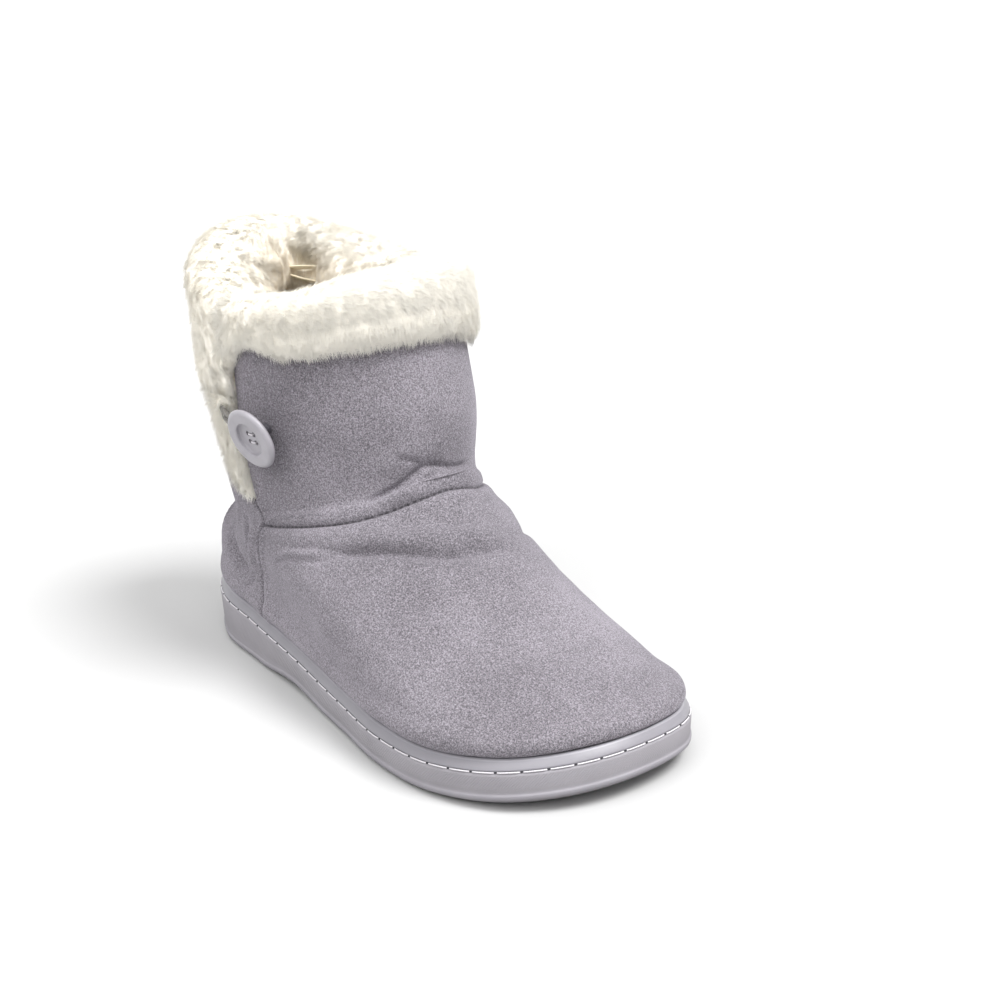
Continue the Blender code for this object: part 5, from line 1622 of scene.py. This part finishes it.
WELL_DEEPER = 1.5              # the button's well is shown this much deeper than the solid's
BUTTON_RINGS, BUTTON_SIDES = 46, 96
HOLE_SIDES = 24
BAR_RADIUS = 0.17 * MM         # of a strand of thread on the button's face
BAR_SHIFT = 0.2                # mm that the two strands of a bar lie to either side
STEM_TURNS = 9
STEM_THREAD = 0.45 * MM
STRAND_SIDES = 8
ELASTIC_RINGS, ELASTIC_SIDES = 110, 16
ELASTIC_WRAP = (70, 290)       # degrees, where its turn round the stem begins and ends
RIBBON_RINGS, RIBBON_SIDES = 70, 16


def button_axes():
    """The button's seat on the wall and its own directions: out, up, along."""
    seat = on_wall(BUTTON_COLUMN, BUTTON_BELOW, 0.0)
    out = unit(on_wall(BUTTON_COLUMN, BUTTON_BELOW, 1.0) - seat)
    out = unit(out + np.array((0.0, 0.0, -math.tan(BUTTON_TILT))))
    along = unit(np.cross(out, UPWARDS))
    return seat, out, np.cross(along, out), along


def turned(profile, sides):
    """A solid turned about the button's axis from (radius, height) pairs."""
    seat, out, up, along = button_axes()
    points = []
    for radius, height in profile:
        for k in range(sides):
            angle = 2 * math.pi * k / sides
            points.append(seat + out * height + (up * math.sin(angle) + along * math.cos(angle)) * radius)
    return points, loft_faces(len(profile), sides)


def build_button():
    """A dished four-hole button, its thread through the holes and wound into a stem."""
    seat, out, up, along = button_axes()
    radius, thickness, back = BUTTON_RADIUS, BUTTON_THICKNESS, BUTTON_STANDOFF
    face = back + thickness
    soft = thickness * 0.3
    well, brim = face - BUTTON_WELL_DEPTH * WELL_DEEPER, BUTTON_WELL_RADIUS
    profile = smooth_path((
        (radius * 0.2, back), (radius * 0.78, back), (radius - soft * 0.5, back + soft),
        (radius, back + thickness * 0.55), (radius - soft, face - soft * 0.2), (radius * 0.78, face),
        (brim + soft * 0.5, face - soft * 0.25), (brim + 0.1 * MM, well + 0.2 * MM),
        (brim - 0.5 * MM, well)), BUTTON_RINGS)
    profile[:, 1] = np.clip(profile[:, 1], back, face)
    points, faces = turned(np.r_[profile, [(brim * 0.5, well)]], BUTTON_SIDES)
    button = make_mesh("coat_button", points, faces, sharp_angle=50)
    corners = [math.pi / 4 + k * math.pi / 2 for k in range(4)]
    centres = [(up * math.sin(turn) + along * math.cos(turn)) * BUTTON_HOLE_CIRCLE for turn in corners]
    cutters = []
    for centre in centres:
        path = np.array([seat + centre + out * (back - MM), seat + centre + out * (face + MM)])
        cutters.append(tube_mesh("hole_cutter", path, BUTTON_HOLE_RADIUS, BUTTON_HOLE_RADIUS, up, HOLE_SIDES))
        cut = button.modifiers.new("Thread hole", "BOOLEAN")
        cut.operation, cut.solver, cut.object = "DIFFERENCE", "EXACT", cutters[-1]
    mesh = evaluated_mesh(button)
    button.modifiers.clear()
    button.data = mesh
    mesh.set_sharp_from_angle(angle=math.radians(40))
    for cutter in cutters:
        bpy.data.objects.remove(cutter)
    mesh.materials.append(button_finish())
    settle(button, "button_plastic", "button")
    build_button_thread(seat, out, up, centres, well)


def build_button_thread(seat, out, up, centres, well):
    """Two bars of thread on the button's face, and the stem wound with it under the back, in a dark grey that
    paints the shade under the button.
    """
    points, faces = [], []

    def strand(path, radius):
        first = len(points)
        points.extend(tube_points(np.array(path), radius, radius, up * 0.3 + out, STRAND_SIDES))
        faces.extend(loft_faces(len(path), STRAND_SIDES, first))

    side = np.cross(out, up)
    rise, down = out * (well + 0.25 * MM), out * (well - 1.2 * MM)
    for first, last in ((centres[0], centres[1]), (centres[3], centres[2])):
        middle = (first + last) / 2
        spots = [seat + first * 0.72 + middle * 0.28 + down, seat + first * 0.62 + middle * 0.38 + rise,
                 seat + middle + rise + out * 0.12 * MM, seat + last * 0.62 + middle * 0.38 + rise,
                 seat + last * 0.72 + middle * 0.28 + down]
        for shift in (-BAR_SHIFT, BAR_SHIFT):
            beside = np.cross(out, unit(first - last)) * shift * MM
            strand(smooth_path([spot + beside for spot in spots], 16), BAR_RADIUS)
    bars = len(faces)
    angles = np.linspace(0, 2 * math.pi * STEM_TURNS, 20 * STEM_TURNS)
    heights = np.linspace(0.6 * MM, BUTTON_STANDOFF - 0.2 * MM, len(angles))
    strand([seat + out * h + (up * math.sin(a) + side * math.cos(a)) * (SHANK_RADIUS - STEM_THREAD)
            for a, h in zip(angles, heights)], STEM_THREAD)
    strand([seat + out * h for h in np.linspace(0.2 * MM, BUTTON_STANDOFF + 0.3 * MM, 6)],
           SHANK_RADIUS - 0.6 * MM)
    # the stem's thread and core get the dark grey thread as painted shade under the button
    thread = make_mesh("button_thread", points, faces, thread_finish(),
                       thread_finish("dark", "#3E3C43", "#55535A"))
    for face in thread.data.polygons[bars:]:
        face.material_index = 1
    settle(thread, "button_plastic")


def build_elastic():
    """The elastic loop: from the rear panel's edge, between cuff and edging, round the stem."""
    seat, out, _, _ = button_axes()
    turn_radius = SHANK_RADIUS + 2 * CLEARANCE + ELASTIC_RADIUS
    rear = LATERAL_SEAM - 1.0
    root = on_wall(walk(rear, ELASTIC_BELOW, -ELASTIC_TAIL), ELASTIC_BELOW, CLEARANCE + ELASTIC_RADIUS * 1.1)
    lift = on_wall(rear, ELASTIC_BELOW, PILE * 0.45)
    centre = seat + out * (BUTTON_STANDOFF - ELASTIC_RADIUS - CLEARANCE * 3)
    towards = lift - centre
    towards = unit(towards - out * np.dot(towards, out))
    side = np.cross(out, towards)
    arc = [centre + (towards * math.cos(a) + side * math.sin(a)) * turn_radius
           for a in np.linspace(*map(math.radians, ELASTIC_WRAP), 9)]
    split = side * ELASTIC_RADIUS * 1.25
    route = smooth_path([root + split, lift + split, *arc, lift - split, root - split], ELASTIC_RINGS)
    elastic = tube_mesh("elastic_loop", route, ELASTIC_RADIUS, ELASTIC_RADIUS, out, ELASTIC_SIDES,
                        elastic_finish())
    settle(elastic, "elastic_cord", "button_loop")


def build_ribbon():
    """The satin hang loop inside the collar, behind the heel's inner side."""
    column = COLUMNS + walk(0, RIBBON_BELOW, -RIBBON_ASIDE)
    inner = -WALL - PILE_INSIDE * 1.35
    root = on_wall(column, RIBBON_BELOW, inner)
    away = unit(on_wall(column, RIBBON_BELOW, inner - 1.0) - root)
    forward = unit(on_wall(column - 1.0, RIBBON_BELOW, inner) - root)
    reach = unit(forward * 0.85 + away * 0.5 + UPWARDS * 0.12)
    rise = unit(UPWARDS - reach * reach[2])
    bend = RIBBON_GAP / 2
    straight = RIBBON_LENGTH - bend
    path = [root - rise * bend * 0.3, root + reach * straight * 0.5 - rise * bend * 0.9]
    path += [root + reach * (straight + bend * math.sin(a)) - rise * bend * math.cos(a)
             for a in np.linspace(0, math.pi, 9)]
    path += [root + reach * straight * 0.5 + rise * bend, root + rise * (bend * 0.3 + RIBBON_THICKNESS)]
    dense = smooth_path(path, RIBBON_RINGS)
    ribbon = tube_mesh("satin_loop", dense, RIBBON_THICKNESS * 0.7, RIBBON_WIDTH / 2,
                       np.cross(reach, rise) + UPWARDS * 0.5, RIBBON_SIDES, ribbon_finish())
    turns = [2 * math.pi * (k + 0.5) / RIBBON_SIDES for k in range(RIBBON_SIDES)]
    widths = np.tile([RIBBON_WIDTH / 2 * math.sin(turn) for turn in turns], len(dense))
    map_surface(ribbon, "ribbon", np.repeat(arc_lengths(dense), RIBBON_SIDES), widths, 1.0)
    settle(ribbon, "satin_ribbon", "hang_loop")


# The camera's place, axes and lens, from a fit to points picked in the photo
CAMERA_PLACE = (0.6178, -0.3369, 0.2915)
CAMERA_AXES = ((0.60024, 0.79853, -0.04551), (-0.23403, 0.22976, 0.94469), (0.76482, -0.55638, 0.32480))
CAMERA_LENS, CAMERA_SENSOR = 60.28, 36.0         # mm
FLOOR_SIDES = 72
FLOOR_SWEEP = (
    # distance from the middle and height above the ground, in metres
    (0.5, 0.0), (4.0, 0.0), (12.0, 0.0), (14.0, 0.5), (16.0, 2.0), (18.0, 4.8), (19.5, 8.5), (20.0, 12.0),
)


def lay_floor(floor_colour):
    """A round white floor that curves up far away."""
    turns = np.linspace(0, 2 * math.pi, FLOOR_SIDES, endpoint=False)
    points = [(reach * math.cos(a), reach * math.sin(a), rise) for reach, rise in FLOOR_SWEEP for a in turns]
    faces = [tuple(range(FLOOR_SIDES))]
    for k in range(len(FLOOR_SWEEP) - 1):
        faces += ring_faces((k + 1) * FLOOR_SIDES, k * FLOOR_SIDES, FLOOR_SIDES)
    mesh = bpy.data.meshes.new("white_floor")
    mesh.from_pydata(points, [], faces)
    mesh.shade_smooth()
    material, tree, shader, _ = new_material("matt white paper")
    set_inputs(tree, shader, {
        "Base Color": tint(floor_colour), "Roughness": 1.0, "Specular IOR Level": 0.0})
    mesh.materials.append(material)
    place_in_scene("white_floor", mesh)


def set_the_stage():
    """The floor, even white surroundings, one broad light from the upper right, a very broad
    one from low in front, and the camera."""
    scene = bpy.context.scene
    stage = scene.bootie_stage
    lay_floor(stage.floor_colour)
    world = bpy.data.worlds.new("even white light")
    world.use_nodes = True
    tree = world.node_tree
    set_inputs(tree, tree.nodes["Background"], {"Color": (1.0, 1.0, 1.0, 1.0), "Strength": stage.surround})
    scene.world = world
    right, _, back = (np.array(axis) for axis in CAMERA_AXES)
    for name, across, nearer, rise, strength, softness in (
            ("broad light", 0.55, 0.35, 0.95, stage.key, stage.softness),
            ("fill light", -0.3, 0.8, 0.25, stage.fill, math.radians(80))):
        towards = Vector(right * across + back * nearer + np.array((0.0, 0.0, rise))).normalized()
        lamp = bpy.data.lights.new(name, "SUN")
        lamp.energy, lamp.angle = strength, softness
        place_in_scene(name, lamp).rotation_euler = towards.to_track_quat("Z", "Y").to_euler()
    lens = bpy.data.cameras.new("camera")
    lens.lens, lens.sensor_width = CAMERA_LENS, CAMERA_SENSOR
    camera = place_in_scene("camera", lens)
    turn = Matrix(CAMERA_AXES).transposed().to_4x4()
    camera.matrix_world = Matrix.Translation(CAMERA_PLACE) @ turn
    scene.camera = camera
    scene.view_settings.view_transform = "Standard"


def number_field(name, description, default, **limits):
    """A property for a number that isn't below nothing."""
    return bpy.props.FloatProperty(name=name, description=description, default=default, min=0.0, **limits)


def length_field(name, description, default):
    """A property for a length, in metres."""
    return number_field(name, description, default, precision=5, subtype="DISTANCE", unit="LENGTH")


def colour_field(name, description, default):
    """A property for a colour."""
    return bpy.props.FloatVectorProperty(name=name, description=description, default=colour(default)[:3],
                                         subtype="COLOR", size=3, min=0.0, max=1.0)


class BootieSuede(bpy.types.PropertyGroup):
    """Sizes and colour of the suede upper."""
    colour: colour_field("Suede", "Colour of the brushed suede", "#757177")
    fold_depth: number_field("Fold depth", "Share of the folds' height", 1.35, max=2.0, subtype="FACTOR")
    slackness: length_field("Slackness", "How uneven the padded cloth is", 0.55 * MM)


class BootieFur(bpy.types.PropertyGroup):
    """Sizes and colours of the fur."""
    hair_length: length_field("Hair length", "Length of a hair in the fur", 3.3 * MM)
    hair_width: length_field("Hair width", "Width of a hair at its root", 0.17 * MM)
    tuft_radius: length_field("Tuft radius", "How far a tuft's roots are spread", 2.0 * MM)
    tufts_per_cm2: number_field("Tufts per cm2", "How densely the tufts stand", 60.0)
    ruffle: number_field("Ruffle", "How far the locks lean about", 0.55, max=3.0, subtype="FACTOR")
    tip_colour: colour_field("Tips", "Colour of the outer fur", "#FCFAF4")
    root_colour: colour_field("Roots", "Colour of the pelt under the hairs", "#FCF8F0")
    # darker than the tips, as painted shade on the crest that the light from above hits hardest
    crest_painted_shade_colour: colour_field("Crest", "Colour of the fur along the rear collar's crest", "#EDEAE2")
    # a little warmer than the tips, partly as painted warm shade inside the collar
    inner_tint_and_painted_shade: colour_field("Inner fur", "Colour of the fur inside the collar", "#FDF6E9")


class BootieSole(bpy.types.PropertyGroup):
    """Sizes and colours of the moulded sole."""
    wall_colour: colour_field("Side wall", "Colour of the ribbed side wall", "#8C898E")
    band_colour: colour_field("Foot band", "Colour of the smooth band at the foot", "#8B888E")
    rand_colour: colour_field("Rand", "Colour of the smooth leaning rand", "#838187")
    rib_pitch: length_field("Rib pitch", "Distance between the fine ribs of the side wall", 1.05 * MM)
    rib_depth: length_field("Rib depth", "Depth of the fine ribs", 0.12 * MM)


class BootieSeam(bpy.types.PropertyGroup):
    """Sizes of the sewing round the sole."""
    pitch: length_field("Stitch pitch", "From one stitch to the next", 9.5 * MM)
    gap: length_field("Stitch gap", "Between the ends of two stitches", 1.4 * MM)
    thread_radius: length_field("Thread radius", "Radius of the sewing thread", 0.26 * MM)


class BootieTrim(bpy.types.PropertyGroup):
    """Colour of the button."""
    button_colour: colour_field("Button", "Colour of the button", "#97949A")


class BootieStage(bpy.types.PropertyGroup):
    """The floor and the light."""
    floor_colour: colour_field("Floor", "Colour of the floor", "#BDBDBD")
    surround: number_field("Surround", "Strength of the even white light", 0.8)
    key: number_field("Key light", "Strength of the broad light", 3.5)
    fill: number_field("Fill light", "Strength of the very broad light from in front", 3.8)
    softness: number_field("Softness", "Apparent width of the broad light", math.radians(25),
                           max=math.pi, subtype="ANGLE", unit="ROTATION")


class BOOTIE_OT_sole(bpy.types.Operator):
    """Builds the moulded sole and the insole"""
    bl_idname = "bootie.sole"
    bl_label = "Sole and insole"

    def execute(self, context):
        build_sole()
        build_insole()
        return {"FINISHED"}


class BOOTIE_OT_stitching(bpy.types.Operator):
    """Sews the thread round the sole"""
    bl_idname = "bootie.stitching"
    bl_label = "Sole stitching"

    def execute(self, context):
        build_stitching()
        return {"FINISHED"}


class BOOTIE_OT_upper(bpy.types.Operator):
    """Builds the suede upper with its seams and folds"""
    bl_idname = "bootie.upper"
    bl_label = "Suede upper"

    def execute(self, context):
        build_upper()
        return {"FINISHED"}


class BOOTIE_OT_fur(bpy.types.Operator):
    """Grows the two cuffs and the fur in the side vents"""
    bl_idname = "bootie.fur"
    bl_label = "Fur cuffs and edgings"

    def execute(self, context):
        build_cuff("collar_fur_front", FRONT_CUFF, ["fur_cuff_front"])
        build_cuff("collar_fur_rear", REAR_CUFF, ["fur_cuff_rear"])
        build_edging("vent_fur_outer", LATERAL_SEAM, -1, LATERAL_EDGING_TOP, "fur_edging_lateral")
        build_edging("vent_fur_inner", MEDIAL_SEAM, 1, MEDIAL_EDGING_TOP, "fur_edging_medial")
        return {"FINISHED"}


class BOOTIE_OT_trim(bpy.types.Operator):
    """Makes the button with its thread, the elastic loop and the ribbon loop"""
    bl_idname = "bootie.trim"
    bl_label = "Button, elastic and ribbon"

    def execute(self, context):
        build_button()
        build_elastic()
        build_ribbon()
        return {"FINISHED"}


class BOOTIE_OT_stage(bpy.types.Operator):
    """Sets the floor, the light and the camera"""
    bl_idname = "bootie.stage"
    bl_label = "Floor, light and camera"

    def execute(self, context):
        set_the_stage()
        return {"FINISHED"}


class BOOTIE_PT_panel(bpy.types.Panel):
    """Lists the slipper's sizes, colours and pieces"""
    bl_idname = "BOOTIE_PT_panel"
    bl_label = "Bootie slipper"
    bl_space_type = "VIEW_3D"
    bl_region_type = "UI"
    bl_category = "Bootie"

    def draw(self, context):
        for slot, group, operators in PARTS:
            box = self.layout.box()
            for field in group.__annotations__:
                box.prop(getattr(context.scene, slot), field)
            for operator in operators:
                box.operator(operator.bl_idname)


PARTS = (
    ("bootie_sole", BootieSole, (BOOTIE_OT_sole,)),
    ("bootie_seam", BootieSeam, (BOOTIE_OT_stitching,)),
    ("bootie_suede", BootieSuede, (BOOTIE_OT_upper,)),
    ("bootie_fur", BootieFur, (BOOTIE_OT_fur,)),
    ("bootie_trim", BootieTrim, (BOOTIE_OT_trim,)),
    ("bootie_stage", BootieStage, (BOOTIE_OT_stage,)),
)


def register():
    """Adds the sizes and colours, the operators and the panel."""
    for slot, group, operators in PARTS:
        bpy.utils.register_class(group)
        setattr(bpy.types.Scene, slot, bpy.props.PointerProperty(type=group))
        for operator in operators:
            bpy.utils.register_class(operator)
    bpy.utils.register_class(BOOTIE_PT_panel)


def unregister():
    """Takes them off again, in the opposite order."""
    bpy.utils.unregister_class(BOOTIE_PT_panel)
    for slot, group, operators in reversed(PARTS):
        for operator in operators:
            bpy.utils.unregister_class(operator)
        delattr(bpy.types.Scene, slot)
        bpy.utils.unregister_class(group)


def main():
    """Builds every piece and the stage."""
    register()
    bpy.ops.bootie.sole()
    bpy.ops.bootie.stitching()
    bpy.ops.bootie.upper()
    bpy.ops.bootie.fur()
    bpy.ops.bootie.trim()
    bpy.ops.bootie.stage()


if __name__ == "__main__":
    main()
